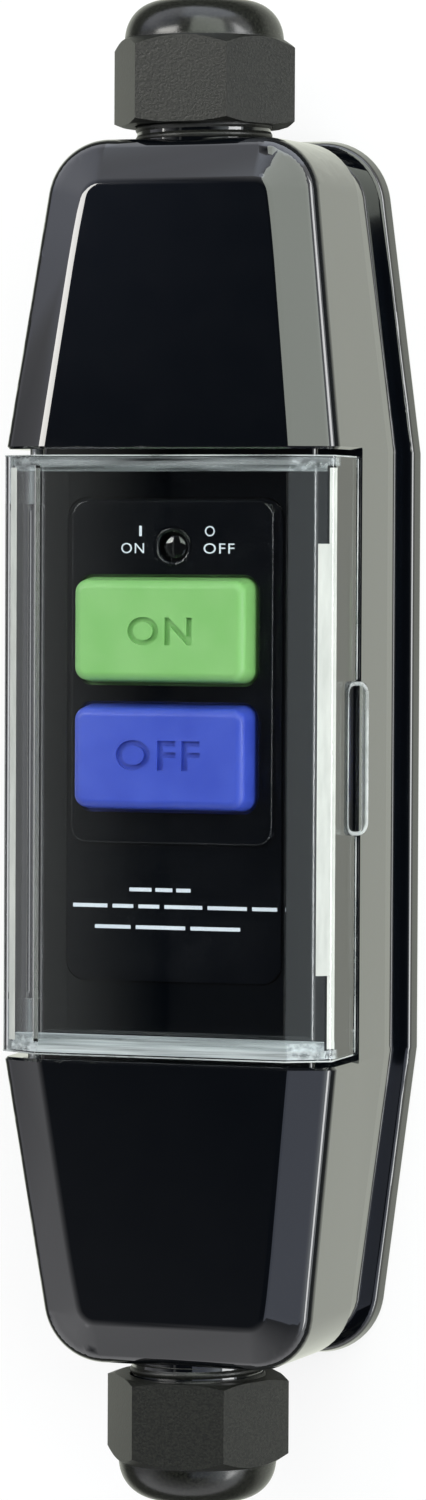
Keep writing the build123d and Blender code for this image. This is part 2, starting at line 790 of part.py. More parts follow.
# Flag behind the indicator: the black slider shows when off, its red plate when on
slider_y = indicator_place[1]
with BuildPart() as flag_slider:
    with BuildSketch(Plane.XY.offset(flag_height - slider_thickness)):
        with Locations((indicator_place[0] - flag_travel / 2, slider_y)):
            Rectangle(flag_travel + flag_size[0] + 2 * slider_overlap, flag_size[1])
    extrude(amount=slider_thickness)
    with BuildSketch(Plane.XY.offset(flag_height)):
        with Locations((indicator_place[0] + slider_overlap / 2, slider_y)):
            Rectangle(flag_size[0] + slider_overlap, flag_size[1])
    extrude(amount=flag_thickness)
save(flag_slider, "flag_slider")

with BuildPart() as indicator_flag:
    with BuildSketch(Plane.XY.offset(flag_height)):
        with Locations((indicator_place[0] - flag_travel + 0.05, slider_y)):
            Rectangle(flag_size[0], flag_size[1] - 0.2)
    extrude(amount=flag_thickness)
save(indicator_flag, "indicator_flag")

# Contacts: a sprung carrier with two bridges over four fixed contacts on the board
contact_places = [(button_x - contact_spread, reset_y), (button_x + contact_spread, reset_y)]
rivet_places = [(x, y + step * contact_pitch / 2) for x, y in contact_places for step in (1, -1)]
carrier_size = (2 * (frame_half_width - frame_wall - carrier_gap), contact_pitch + 2 * rivet_radius + 3)
with BuildPart() as contact_carrier:
    with BuildSketch(Plane.XY.offset(carrier_bottom)):
        with Locations((button_x, reset_y)):
            RectangleRounded(carrier_size[0], carrier_size[1], 1)
            Circle(stem_radius + 0.5, mode=Mode.SUBTRACT)
    extrude(amount=carrier_thickness)
save(contact_carrier, "contact_carrier")

with BuildPart() as moving_contacts:
    with BuildSketch(Plane.XY.offset(carrier_bottom - contact_thickness)):
        with Locations(*contact_places):
            RectangleRounded(contact_width, contact_pitch + 2 * rivet_radius + 0.4, 0.6)
    extrude(amount=contact_thickness)
    with BuildSketch(Plane.XY.offset(carrier_bottom - contact_thickness - rivet_height)):
        with Locations(*rivet_places):
            Circle(rivet_radius)
    extrude(amount=rivet_height)
save(moving_contacts, "moving_contacts")

with BuildPart() as fixed_contacts:
    with BuildSketch(Plane.XY.offset(board_top)):
        with Locations(*rivet_places):
            RectangleRounded(contact_width + 0.4, contact_width + 1.6, 0.4)
    extrude(amount=fixed_contact_height)
    with BuildSketch(Plane.XY.offset(board_top + fixed_contact_height)):
        with Locations(*rivet_places):
            Circle(rivet_radius)
    extrude(amount=rivet_height)
save(fixed_contacts, "fixed_contacts")

for name, (x, y) in zip(("contact_spring_left", "contact_spring_right"), contact_places):
    coil_spring(name, (x, y, carrier_top), (0, 0, 1), frame_top - frame_wall - carrier_top,
                contact_spring_radius, 4)

# Latch plate with a keyhole: narrow round the stem's groove, wide enough to free it when pulled
plate_start = frame_low_y + frame_wall + latch_travel + 0.4
keyhole_radius = stem_radius + latch_slot_gap
with BuildPart() as latch_plate:
    with BuildSketch(Plane.XY.offset(latch_height)):
        with Locations((button_x, plate_start)):
            Rectangle(2 * latch_half_width, reset_y + latch_travel + keyhole_radius + 1.2 - plate_start,
                      align=(Align.CENTER, Align.MIN))
        with Locations((button_x, reset_y + latch_travel)):
            Circle(keyhole_radius, mode=Mode.SUBTRACT)
        with Locations((button_x, reset_y)):
            Circle(stem_groove_radius + latch_slot_gap, mode=Mode.SUBTRACT)
            Rectangle(2 * (stem_groove_radius + latch_slot_gap), latch_travel,
                      align=(Align.CENTER, Align.MIN), mode=Mode.SUBTRACT)
    extrude(amount=latch_thickness)
save(latch_plate, "latch_plate")

# Test leaf: a bent bronze strip on the board whose free arm lies under the test stem
leaf_side = button_x - frame_half_width + frame_wall + leaf_from_wall
with BuildPart() as test_leaf:
    with BuildSketch(Plane.XZ.offset(-test_y)):
        with BuildLine():
            arm = Polyline((leaf_side, board_top), (leaf_side, leaf_top), (button_x + 2, leaf_top))
            offset(arm, amount=leaf_thickness, side=Side.RIGHT)
        make_face()
    extrude(amount=leaf_width / 2, both=True)
save(test_leaf, "test_leaf")

# Trip solenoid: steel yoke, coil and a plunger that pulls the latch plate against its spring
coil_length = solenoid_length - 2 * solenoid_plate
plunger_inner = solenoid_y - 0.5
yoke_top = latch_middle + solenoid_half_width
with BuildPart() as solenoid_yoke:
    with BuildSketch(Plane.XY.offset(board_top)):
        with Locations((button_x, solenoid_y)):
            Rectangle(2 * solenoid_half_width, solenoid_length)
    extrude(amount=yoke_top - board_top)
    with BuildSketch(Plane.XY.offset(board_top + solenoid_plate)):
        with Locations((button_x, solenoid_y)):
            Rectangle(2 * solenoid_half_width, coil_length)
    extrude(amount=far, mode=Mode.SUBTRACT)
    with BuildSketch(Plane.XZ.offset(-solenoid_y)):
        with Locations((button_x, latch_middle)):
            Circle(plunger_radius + 0.3)
    extrude(amount=-solenoid_length, mode=Mode.SUBTRACT)
save(solenoid_yoke, "solenoid_yoke")

with BuildPart() as solenoid_coil:
    with BuildSketch(Plane.XZ.offset(-solenoid_y)):
        with Locations((button_x, latch_middle)):
            Circle(solenoid_half_width - 0.7)
    extrude(amount=coil_length / 2, both=True)
    with BuildSketch(Plane.XZ.offset(-solenoid_y)):
        with Locations((button_x, latch_middle)):
            Circle(solenoid_half_width)
            Circle(coil_radius, mode=Mode.SUBTRACT)
    extrude(amount=coil_length / 2 - 1, both=True, mode=Mode.SUBTRACT)
    with BuildSketch(Plane.XZ.offset(-solenoid_y)):
        with Locations((button_x, latch_middle)):
            Circle(plunger_radius + plunger_gap)
    extrude(amount=solenoid_length, both=True, mode=Mode.SUBTRACT)
save(solenoid_coil, "solenoid_coil")

with BuildPart() as solenoid_plunger:
    with BuildSketch(Plane.XZ.offset(-plunger_inner)):
        with Locations((button_x, latch_middle)):
            Circle(plunger_radius)
    extrude(amount=plunger_inner - plate_start)
    chamfer(solenoid_plunger.edges().sort_by(Axis.Y)[0], 0.3)
save(solenoid_plunger, "solenoid_plunger")

spring_seat = solenoid_y - coil_length / 2
coil_spring("plunger_spring", (button_x, spring_seat, latch_middle), (0, 1, 0), plunger_inner - spring_seat,
            plunger_radius - 2 * spring_wire, 4)

# Circuit board and what is soldered on it
with BuildPart() as circuit_board:
    with BuildSketch(Plane.XY.offset(board_height)):
        RectangleRounded(board_size[0], board_size[1], 1.5)
        with GridLocations(2 * board_screw_place[0], 2 * board_screw_place[1], 2, 2):
            Circle(board_screw_radius + 0.1, mode=Mode.SUBTRACT)
    extrude(amount=board_thickness)
save(circuit_board, "circuit_board")

with BuildPart() as board_screws:
    with BuildSketch(Plane.XY.offset(board_top - board_screw_length)):
        with GridLocations(2 * board_screw_place[0], 2 * board_screw_place[1], 2, 2):
            Circle(board_screw_radius)
    extrude(amount=board_screw_length)
    with BuildSketch(Plane.XY.offset(board_top)):
        with GridLocations(2 * board_screw_place[0], 2 * board_screw_place[1], 2, 2):
            Circle(board_screw_head)
    extrude(amount=board_screw_head_height)
save(board_screws, "board_screws")

with BuildPart() as current_transformer:
    with BuildSketch(Plane.XZ.offset(-ring_y)):
        with Locations((0, ring_height)):
            Circle(ring_radius)
            Circle(ring_bore, mode=Mode.SUBTRACT)
    extrude(amount=ring_length / 2, both=True)
    fillet(current_transformer.edges(), 1)
    with BuildSketch(Plane.XY.offset(board_top)):
        with Locations((0, ring_y)):
            Rectangle(ring_radius, ring_length - 2)
    extrude(amount=ring_height - ring_radius - board_top + 1.6)
save(current_transformer, "current_transformer")

with BuildPart() as filter_capacitor:
    with BuildSketch(Plane.XY.offset(board_top)):
        with Locations(capacitor_place):
            Rectangle(capacitor_size[0], capacitor_size[1])
    extrude(amount=capacitor_size[2])
    fillet(filter_capacitor.edges().filter_by(Axis.Z) + filter_capacitor.faces().sort_by(Axis.Z)[-1].edges(), 0.7)
save(filter_capacitor, "filter_capacitor")

with BuildPart() as varistor:
    with BuildSketch(Plane.XZ.offset(-varistor_place[1])):
        with Locations((varistor_place[0], board_top + varistor_radius + 0.4)):
            Circle(varistor_radius)
    extrude(amount=varistor_thickness / 2, both=True)
    fillet(varistor.edges(), 0.9)
    with BuildSketch(Plane.XY.offset(board_top)):
        with Locations(varistor_place):
            with GridLocations(varistor_leg_spread, 0, 2, 1):
                Circle(varistor_leg_radius)
    extrude(amount=3)
save(varistor, "varistor")

with BuildPart() as control_chip:
    with BuildSketch(Plane.XY.offset(board_top)):
        with Locations(chip_place):
            Rectangle(chip_size[0], chip_size[1])
            with GridLocations(0, chip_leg_pitch, 1, 7):
                Rectangle(chip_leg_span, chip_leg_width)
    extrude(amount=0.3)
    with BuildSketch(Plane.XY.offset(board_top + 0.2)):
        with Locations(chip_place):
            Rectangle(chip_size[0], chip_size[1])
    extrude(amount=chip_size[2] - 0.2)
save(control_chip, "control_chip")

with BuildPart() as test_resistor:
    with BuildSketch(Plane.XZ.offset(-resistor_place[1])):
        with Locations((resistor_place[0], board_top + resistor_radius + 0.1)):
            Circle(resistor_radius)
    extrude(amount=resistor_length / 2, both=True)
    fillet(test_resistor.edges(), 0.5)
    with BuildSketch(Plane.XZ.offset(-resistor_place[1])):
        with Locations((resistor_place[0], board_top + resistor_radius + 0.1)):
            Circle(resistor_leg_radius)
    extrude(amount=resistor_leg_span / 2, both=True)
    with BuildSketch(Plane.XY.offset(board_top)):
        with Locations(resistor_place):
            with GridLocations(0, resistor_leg_span - 2 * resistor_leg_radius, 1, 2):
                Rectangle(2 * resistor_leg_radius, 2 * resistor_leg_radius)
    extrude(amount=resistor_radius + 0.1 + resistor_leg_radius)
save(test_resistor, "test_resistor")


# Terminals at both cable ends: a moulded block, three brass clamps and their screws
clamp_low = wire_height - clamp_size[2] / 2
clamp_top = clamp_low + clamp_size[2]
for end, side in (("input", 1), ("output", -1)):
    clamp_places = [(step * terminal_pitch, side * terminal_y) for step in (-1, 0, 1)]
    with BuildPart() as terminal_block:
        with BuildSketch(Plane.XY.offset(terminal_low)):
            with Locations((0, side * terminal_y)):
                RectangleRounded(terminal_size[0], terminal_size[1], 0.8)
        extrude(amount=terminal_high - terminal_low)
        with BuildSketch(Plane.XY.offset(clamp_low)):
            with Locations(*clamp_places):
                Rectangle(clamp_size[0] + 2 * clamp_gap, clamp_size[1] + 2 * clamp_gap)
        extrude(amount=far, mode=Mode.SUBTRACT)
        with BuildSketch(Plane.XZ.offset(-side * terminal_y)):
            with Locations(*[(x, wire_height) for x, y in clamp_places]):
                Circle(wire_hole_radius)
        extrude(amount=terminal_size[1], both=True, mode=Mode.SUBTRACT)
    save(terminal_block, f"{end}_terminal_block")
    with BuildPart() as terminal_clamps:
        with BuildSketch(Plane.XY.offset(clamp_low)):
            with Locations(*clamp_places):
                Rectangle(clamp_size[0], clamp_size[1])
        extrude(amount=clamp_size[2])
        with BuildSketch(Plane.XZ.offset(-side * terminal_y)):
            with Locations(*[(x, wire_height) for x, y in clamp_places]):
                Circle(clamp_bore)
        extrude(amount=terminal_size[1], both=True, mode=Mode.SUBTRACT)
        with BuildSketch(Plane.XY.offset(wire_height)):
            with Locations(*clamp_places):
                Circle(terminal_screw_radius + 0.1)
        extrude(amount=far, mode=Mode.SUBTRACT)
    save(terminal_clamps, f"{end}_terminal_clamps")
    with BuildPart() as terminal_screws:
        with BuildSketch(Plane.XY.offset(wire_height + clamp_bore)):
            with Locations(*clamp_places):
                Circle(terminal_screw_radius)
        extrude(amount=clamp_top - wire_height - clamp_bore)
        with BuildSketch(Plane.XY.offset(clamp_top)):
            with Locations(*clamp_places):
                Circle(terminal_screw_head)
        extrude(amount=2)
        with BuildSketch(Plane.XY.offset(clamp_top + 2 - screw_slot_depth)):
            with Locations(*clamp_places):
                Rectangle(2 * terminal_screw_head + 1, screw_slot_width)
        extrude(amount=screw_slot_depth, mode=Mode.SUBTRACT)
    save(terminal_screws, f"{end}_terminal_screws")


def bent_wire(points):
    """A round wire along straight runs joined by tangent arcs."""
    with BuildPart() as wire:
        with BuildLine() as path:
            FilletPolyline(*points, radius=wire_bend)
        with BuildSketch(Plane(origin=path.line @ 0, z_dir=path.line % 0)):
            Circle(wire_radius)
        sweep()
    return wire.part


# Wires: line side through the transformer, load side beside the solenoid, earth under the board
wire_start = terminal_y - 2
past_block = terminal_y - terminal_size[1] / 2 - 4
line_drop_y = ring_y - ring_length / 2 - 3.4
with BuildPart() as line_conductors:
    for side in (1, -1):
        add(bent_wire([
            (side * terminal_pitch, wire_start, wire_height),
            (side * terminal_pitch, past_block, wire_height),
            (side * line_spread, ring_y + ring_length / 2 + 3.6, ring_height),
            (side * line_spread, line_drop_y, ring_height),
            (side * line_spread, line_drop_y, board_top),
        ]))
save(line_conductors, "line_conductors")

with BuildPart() as load_conductors:
    for side in (1, -1):
        add(bent_wire([
            (side * load_reach, frame_low_y - 4, board_top),
            (side * load_reach, frame_low_y - 4, load_height),
            (side * load_reach, -board_size[1] / 2 - 2, load_height),
            (side * terminal_pitch, -past_block - 1, wire_height),
            (side * terminal_pitch, -wire_start, wire_height),
        ]))
save(load_conductors, "load_conductors")

with BuildPart() as earth_conductor:
    add(bent_wire([
        (0, wire_start, wire_height),
        (0, past_block + 1, wire_height),
        (0, past_block - 3.1, earth_height),
        (0, -past_block + 3.1, earth_height),
        (0, -past_block - 1, wire_height),
        (0, -wire_start, wire_height),
    ]))
save(earth_conductor, "earth_conductor")


# Cable glands: a hexagonal dome nut, a slotted claw and a rubber sealing ring at each end
claw_low = mouth - spout_mouth_depth + 0.2
collar_low = mouth + claw_gap
collar_high = collar_low + claw_collar
claw_high = collar_high + claw_length
claw_bore = spout_mouth_radius - 1.5
seal_low = claw_low + 0.1
seal_high = seal_low + seal_length
nut_shoulder = claw_high + claw_gap
for end, side, turn in (("top", 1, nut_turn_top), ("bottom", -1, nut_turn_bottom)):
    with BuildPart() as gland_nut:
        with BuildSketch(along_cable(side, nut_inner)):
            RegularPolygon(nut_corner_radius, 6, rotation=-side * turn)
        extrude(amount=nut_hex_length)
        turned(side, (
            (0, nut_inner),
            (nut_across_flats / 2 + 0.3, nut_inner),
            (nut_corner_radius, nut_inner + 0.6 * nut_chamfer),
            (nut_corner_radius, nut_hex_end - 1.4 * nut_chamfer),
            (nut_across_flats / 2 - 0.2, nut_hex_end),
            (0, nut_hex_end),
        ), mode=Mode.INTERSECT)
        with BuildSketch(Plane.XY.offset(axis_height)) as dome_section:
            with BuildLine():
                Line((0, side * nut_hex_end), (nut_dome_radius, side * nut_hex_end))
                Bezier(
                    (nut_dome_radius, side * nut_hex_end),
                    (nut_dome_radius - 0.1, side * (nut_hex_end + 0.6 * nut_dome_length)),
                    (nut_dome_radius - 2.6, side * nut_end),
                    (nut_hole_radius + 0.8, side * nut_end),
                )
                Line((nut_hole_radius + 0.8, side * nut_end), (0, side * nut_end))
                Line((0, side * nut_end), (0, side * nut_hex_end))
            make_face()
        revolve(dome_section.sketch, axis=Axis((0, 0, axis_height), (0, 1, 0)))
        turned(side, (
            (0, nut_inner - 1),
            (spout_radius + nut_gap, nut_inner - 1),
            (spout_radius + nut_gap, collar_high + claw_gap),
            (claw_root_radius + 0.5, collar_high + claw_gap + 0.6),
            (claw_nose_radius + 0.5, nut_shoulder),
            (nut_hole_radius, nut_shoulder),
            (nut_hole_radius, nut_end - 0.8),
            (nut_hole_radius + 0.8, nut_end + 0.1),
            (0, nut_end + 0.1),
        ), mode=Mode.SUBTRACT)
    save(gland_nut, f"{end}_gland_nut")
    with BuildPart() as gland_claw:
        turned(side, (
            (claw_bore, claw_low),
            (spout_mouth_radius - 0.3, claw_low),
            (spout_mouth_radius - 0.3, collar_low),
            (spout_radius - 0.3, collar_low),
            (spout_radius - 0.3, collar_high),
            (claw_root_radius, collar_high),
            (claw_nose_radius, claw_high),
            (claw_nose_radius - 1.3, claw_high),
            (claw_bore, collar_high + 1),
        ))
        with BuildSketch(along_cable(side, collar_high + 0.4)):
            with PolarLocations(0, claw_slots):
                Rectangle(claw_root_radius + 2, claw_slot_width, align=(Align.MIN, Align.CENTER))
        extrude(amount=claw_length, mode=Mode.SUBTRACT)
    save(gland_claw, f"{end}_gland_claw")
    with BuildPart() as gland_seal:
        turned(side, (
            (seal_bore, seal_low),
            (claw_bore - seal_gap, seal_low),
            (claw_bore - seal_gap, collar_high + 0.6),
            (claw_nose_radius - 1.3 - seal_gap, seal_high),
            (seal_bore, seal_high),
        ))
    save(gland_seal, f"{end}_gland_seal")
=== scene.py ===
import json
import math

import bmesh
import bpy
import numpy as np
from mathutils import Matrix, Vector


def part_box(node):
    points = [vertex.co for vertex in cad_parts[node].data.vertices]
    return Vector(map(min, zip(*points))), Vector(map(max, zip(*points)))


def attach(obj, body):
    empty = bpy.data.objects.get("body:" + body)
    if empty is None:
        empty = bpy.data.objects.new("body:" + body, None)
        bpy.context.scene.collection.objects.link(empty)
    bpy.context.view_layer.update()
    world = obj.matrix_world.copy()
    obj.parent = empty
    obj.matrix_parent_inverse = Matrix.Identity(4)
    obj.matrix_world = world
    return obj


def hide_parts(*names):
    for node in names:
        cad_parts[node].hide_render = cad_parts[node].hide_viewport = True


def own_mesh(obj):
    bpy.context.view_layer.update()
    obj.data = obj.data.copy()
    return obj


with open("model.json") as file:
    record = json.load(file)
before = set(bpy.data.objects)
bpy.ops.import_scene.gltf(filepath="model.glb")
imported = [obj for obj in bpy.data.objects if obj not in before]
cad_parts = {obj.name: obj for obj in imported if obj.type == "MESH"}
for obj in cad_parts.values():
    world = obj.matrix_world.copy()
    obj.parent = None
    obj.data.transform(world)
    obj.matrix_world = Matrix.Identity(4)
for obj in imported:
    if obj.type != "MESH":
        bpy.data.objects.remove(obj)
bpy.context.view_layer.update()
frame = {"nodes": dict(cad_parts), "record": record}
print("frame loaded:", len(frame["nodes"]), "nodes")

mm = 0.001
mergeWithin = 0.001 * mm  # corners this close are one


def hexColor(code):
    # sRGB hex to linear: a straight line below 0.04045, a 2.4 power above it
    parts = [int(code[i:i + 2], 16) / 255 for i in (1, 3, 5)]
    return [c / 12.92 if c <= 0.04045 else ((c + 0.055) / 1.055) ** 2.4 for c in parts] + [1.0]


def addNode(tree, kind, inputs=None, **settings):
    # One node with its properties and its sockets' values, where an underscore stands for a space.
    # Inputs holds sockets by name or number, each with the output that feeds it, or with its value.
    node = tree.nodes.new(kind)
    for name, value in settings.items():
        if hasattr(node, name):
            setattr(node, name, value)
        else:
            node.inputs[name.replace("_", " ")].default_value = value
    for socket, source in (inputs or {}).items():
        if isinstance(source, bpy.types.NodeSocket):
            tree.links.new(source, node.inputs[socket])
        else:
            node.inputs[socket].default_value = source
    return node


def newMaterial(name):
    material = bpy.data.materials.new(name)
    material.use_nodes = True
    tree = material.node_tree
    tree.nodes.clear()
    return material, tree, tree.nodes.new("ShaderNodeOutputMaterial")


def addMesh(name, points, faces, material, smooth=True):
    mesh = bpy.data.meshes.new(name)
    mesh.from_pydata(np.asarray(points, float).reshape(-1, 3).tolist(), [], np.asarray(faces).tolist())
    mesh.materials.append(material)
    mesh.polygons.foreach_set("use_smooth", [smooth] * len(mesh.polygons))
    mesh.update()
    piece = bpy.data.objects.new(name, mesh)
    bpy.context.scene.collection.objects.link(piece)
    return piece


def gridFaces(rows, columns, wrapRows=False, wrapColumns=False):
    # Quads between neighbouring rows and columns of a grid, closed on itself where asked
    r = np.arange(rows if wrapRows else rows - 1)[:, None]
    c = np.arange(columns if wrapColumns else columns - 1)[None, :]
    r2, c2 = (r + 1) % rows, (c + 1) % columns
    quads = [r * columns + c, r * columns + c2, r2 * columns + c2, r2 * columns + c]
    return np.stack(quads, -1).reshape(-1, 4)


# The photograph's view: lengths in millimetres, angles in degrees, shifts as shares of the picture
cameraView = {"distance": 813.0, "turn": 18.0, "tilt": 2.1, "roll": 0.28, "targetHeight": 23.0,
              "lens": 88.06, "sensor": 24.0, "shiftX": 0.0080, "shiftY": 0.0018, "clipNearer": 10.0}


def placeCamera(view):
    turn, tilt = math.radians(view["turn"]), math.radians(view["tilt"])
    toCamera = Vector((math.sin(turn) * math.cos(tilt), math.sin(tilt), math.cos(turn) * math.cos(tilt)))
    right = Vector((math.cos(turn), 0, -math.sin(turn)))
    up = toCamera.cross(right)
    roll = Matrix.Rotation(math.radians(view["roll"]), 3, "Z")
    axes = Matrix((right, up, toCamera)).transposed() @ roll
    data = bpy.data.cameras.new("photoCamera")
    data.sensor_fit = "VERTICAL"
    data.sensor_height = view["sensor"]
    data.lens = view["lens"]
    data.shift_x, data.shift_y = view["shiftX"], view["shiftY"]
    data.clip_start = view["clipNearer"] * mm
    camera = bpy.data.objects.new("photoCamera", data)
    place = Vector((0, 0, view["targetHeight"])) * mm + toCamera * view["distance"] * mm
    camera.matrix_world = Matrix.Translation(place) @ axes.to_4x4()
    bpy.context.scene.collection.objects.link(camera)
    bpy.context.scene.camera = camera


placeCamera(cameraView)
print("camera placed")

# The studio. The floor's size is in metres, and its drop under the part in millimetres. It is as bright
# as near at a card of halfWidth by halfLength, and fades to far between from and to millimetres off it.
# Softboxes hang level at a height in metres over the part, and reach from one angle off the vertical
# to another, along X and along Y; then comes how bright they look, where 1 is white, and their colour.
# The card's place is in metres. The walls' levels are the height of a direction, from 0 to 1, and how
# bright the wall is there. Patches of wall go from where they start to where they are full, across in
# the X and along in the Y of a direction.
studio = {
    "floor": {
        "size": 6.0, "drop": 0.3, "color": "#f4f4f4", "glow": 0.8,
        # Through the cover the floor shows painted shade, dark near the part and white further out
        "throughCover": {"near": 0.07, "far": 1.0, "from": 8.0, "to": 90.0},
        "mirrored": {"near": 0.78, "far": 0.12, "from": 24.0, "to": 60.0, "halfWidth": 26.0,
                     "halfLength": 92.0, "color": "#f9fdf0"},
    },
    "softboxes": {
        "topRight": (1.3, (-4, 48), (11, 57), 2.8, "#f7fff3"),
        "lowerRight": (1.3, (36, 58), (-50, -9), 0.5, "#e3ecff"),
        "lowerMiddle": (1.3, (8, 36), (-34, -9), 0.65, "#dfe8ff"),
        "topLeft": (1.3, (-55, -22), (11, 31), 9.0, "#fffdf8"),
        "rightWall": (0.25, (61, 86), (-62, 62), 6.0, "#ffffff"),
    },
    "card": {"height": 1.3, "acrossX": (-0.56, -0.415), "alongY": (-0.42, 0.2), "brightBeyond": -0.5,
             "brightness": 0.385, "color": "#f3f5f2"},
    "walls": {"levels": [(0.3, 1.3), (0.5, 0.8), (0.75, 0.3), (0.9, 0.02)], "blue": 1.03},
    "patches": {
        "endWall": {"brightness": 1.3, "color": "#dfebff", "across": (-0.36, -0.22),
                    "along": (0.74, 0.82)},
        "topHaze": {"brightness": 0.34, "color": "#c9d8ff", "across": (-0.27, -0.43),
                    "along": (0.22, 0.31)},
        "sideHaze": {"brightness": 0.42, "color": "#c4dcdf", "across": (0.5, 0.78),
                     "along": (0.75, 0.1)},
        "leftWall": {"brightness": -0.75, "color": "#ffffff", "across": (-0.78, -0.96),
                     "along": (0.6, 0.3)},
    },
}


def makeFloor(settings):
    # White to the eye; gloss mirrors it as a bright card under the part on a dark table, and through the
    # clear cover it carries painted shade: dark close to the part, where little light falls, and white
    # further out
    half, low = settings["size"] / 2, -settings["drop"] * mm
    card, shade = settings["mirrored"], settings["throughCover"]
    material, tree, output = newMaterial("whiteStudioFloor")
    paint = addNode(tree, "ShaderNodeBsdfDiffuse", Color=hexColor(settings["color"]))
    # How far a point lies outside the card
    where = tree.nodes.new("ShaderNodeTexCoord")
    size = addNode(tree, "ShaderNodeVectorMath", {0: where.outputs["Object"]}, operation="ABSOLUTE")
    reach = (card["halfWidth"] * mm, card["halfLength"] * mm, 1.0)
    beyond = addNode(tree, "ShaderNodeVectorMath", {0: size.outputs[0], 1: reach}, operation="SUBTRACT")
    beyond = addNode(tree, "ShaderNodeVectorMath", {0: beyond.outputs[0], 1: (0, 0, 0)},
                     operation="MAXIMUM")
    away = addNode(tree, "ShaderNodeVectorMath", {0: beyond.outputs[0]}, operation="LENGTH")
    # The second of these paints shade on the floor close to the part, for rays through the cover
    mirrored, covered = (addNode(tree, "ShaderNodeMapRange", {"Value": away.outputs["Value"]},
                                 interpolation_type="SMOOTHSTEP", From_Min=fade["from"] * mm,
                                 From_Max=fade["to"] * mm, To_Min=fade["near"], To_Max=fade["far"])
                         for fade in (card, shade))
    rays = tree.nodes.new("ShaderNodeLightPath")
    direct = addNode(tree, "ShaderNodeMath",
                     {0: rays.outputs["Is Camera Ray"], 1: rays.outputs["Is Transmission Ray"]},
                     operation="MAXIMUM")
    seen = addNode(tree, "ShaderNodeMath", {0: covered.outputs[0], 1: rays.outputs["Is Camera Ray"]},
                   operation="MAXIMUM")
    strength = addNode(tree, "ShaderNodeMix",
                       {"Factor": direct.outputs[0], "A": mirrored.outputs[0], "B": seen.outputs[0]})
    tint = addNode(tree, "ShaderNodeMix",
                   {"Factor": direct.outputs[0], "A": hexColor(card["color"]), "B": (1, 1, 1, 1)},
                   data_type="RGBA")
    glow = addNode(tree, "ShaderNodeEmission",
                   {"Strength": strength.outputs[0], "Color": tint.outputs["Result"]})
    share = addNode(tree, "ShaderNodeMath", {0: direct.outputs[0], 1: settings["glow"]},
                    operation="MULTIPLY")
    share = addNode(tree, "ShaderNodeMath", {0: share.outputs[0], 1: rays.outputs["Is Glossy Ray"]},
                    operation="MAXIMUM")
    mixed = addNode(tree, "ShaderNodeMixShader",
                    {0: share.outputs[0], 1: paint.outputs[0], 2: glow.outputs[0]})
    tree.links.new(mixed.outputs[0], output.inputs["Surface"])
    corners = [(-half, -half, low), (half, -half, low), (half, half, low), (-half, half, low)]
    floor = addMesh("studioFloor", corners, [(0, 1, 2, 3)], material, smooth=False)


def addSoftbox(name, height, spanX, spanY, brightness, color):
    # Its power is the brightness that it shows times pi times its area
    x0, x1 = (math.tan(math.radians(a)) * height for a in spanX)
    y0, y1 = (math.tan(math.radians(a)) * height for a in spanY)
    data = bpy.data.lights.new(name, "AREA")
    data.shape = "RECTANGLE"
    data.size, data.size_y = x1 - x0, y1 - y0
    data.energy = brightness * math.pi * (x1 - x0) * (y1 - y0)
    data.color = hexColor(color)[:3]
    lamp = bpy.data.objects.new(name, data)
    lamp.location = ((x0 + x1) / 2, (y0 + y1) / 2, height)
    bpy.context.scene.collection.objects.link(lamp)


def hangCard(settings):
    # A grey card over the part's left side, brighter towards its far edge, that the clear cover mirrors
    height, (x0, x1), (y0, y1) = settings["height"], settings["acrossX"], settings["alongY"]
    material, tree, output = newMaterial("gradedGreyCard")
    where = tree.nodes.new("ShaderNodeTexCoord")
    split = addNode(tree, "ShaderNodeSeparateXYZ", {0: where.outputs["Object"]})
    fade = addNode(tree, "ShaderNodeMapRange", {"Value": split.outputs["X"]},
                   interpolation_type="SMOOTHSTEP", From_Min=x1, From_Max=settings["brightBeyond"],
                   To_Max=settings["brightness"])
    glow = addNode(tree, "ShaderNodeEmission", {"Strength": fade.outputs[0]},
                   Color=hexColor(settings["color"]))
    tree.links.new(glow.outputs[0], output.inputs["Surface"])
    corners = [(x0, y0, height), (x0, y1, height), (x1, y1, height), (x1, y0, height)]
    addMesh("gradedCard", corners, [(0, 1, 2, 3)], material, smooth=False)


def makeRoom(walls, patches):
    # Pale walls that fade into a dark ceiling, which polished black mirrors, and soft patches on them
    world = bpy.data.worlds.new("studioRoom")
    world.use_nodes = True
    tree = world.node_tree
    tree.nodes.clear()
    where = tree.nodes.new("ShaderNodeTexCoord")
    split = addNode(tree, "ShaderNodeSeparateXYZ", {0: where.outputs["Generated"]})
    height = addNode(tree, "ShaderNodeValToRGB", {0: split.outputs["Z"]})
    ramp = height.color_ramp
    while len(ramp.elements) < len(walls["levels"]):
        ramp.elements.new(0.5)  # the next lines set its real place
    for element, (position, value) in zip(ramp.elements, walls["levels"]):
        element.position = position
        element.color = (value, value, value * walls["blue"], 1)
    total = height.outputs[0]
    for patch in patches.values():
        # Brightness and colour times how far into the patch the direction is, in X and in Y
        across = addNode(tree, "ShaderNodeMapRange", {"Value": split.outputs["X"]},
                         interpolation_type="SMOOTHSTEP", From_Min=patch["across"][0],
                         From_Max=patch["across"][1], To_Max=patch["brightness"])
        along = addNode(tree, "ShaderNodeMapRange", {"Value": split.outputs["Y"]},
                        interpolation_type="SMOOTHSTEP", From_Min=patch["along"][0],
                        From_Max=patch["along"][1])
        both = addNode(tree, "ShaderNodeMath", {0: across.outputs[0], 1: along.outputs[0]},
                       operation="MULTIPLY")
        tinted = addNode(tree, "ShaderNodeVectorMath",
                         {0: both.outputs[0], 1: hexColor(patch["color"])[:3]}, operation="MULTIPLY")
        total = addNode(tree, "ShaderNodeVectorMath", {0: total, 1: tinted.outputs[0]},
                        operation="ADD").outputs[0]
    air = addNode(tree, "ShaderNodeBackground", {0: total}, Strength=1.0)
    output = tree.nodes.new("ShaderNodeOutputWorld")
    tree.links.new(air.outputs[0], output.inputs["Surface"])
    bpy.context.scene.world = world


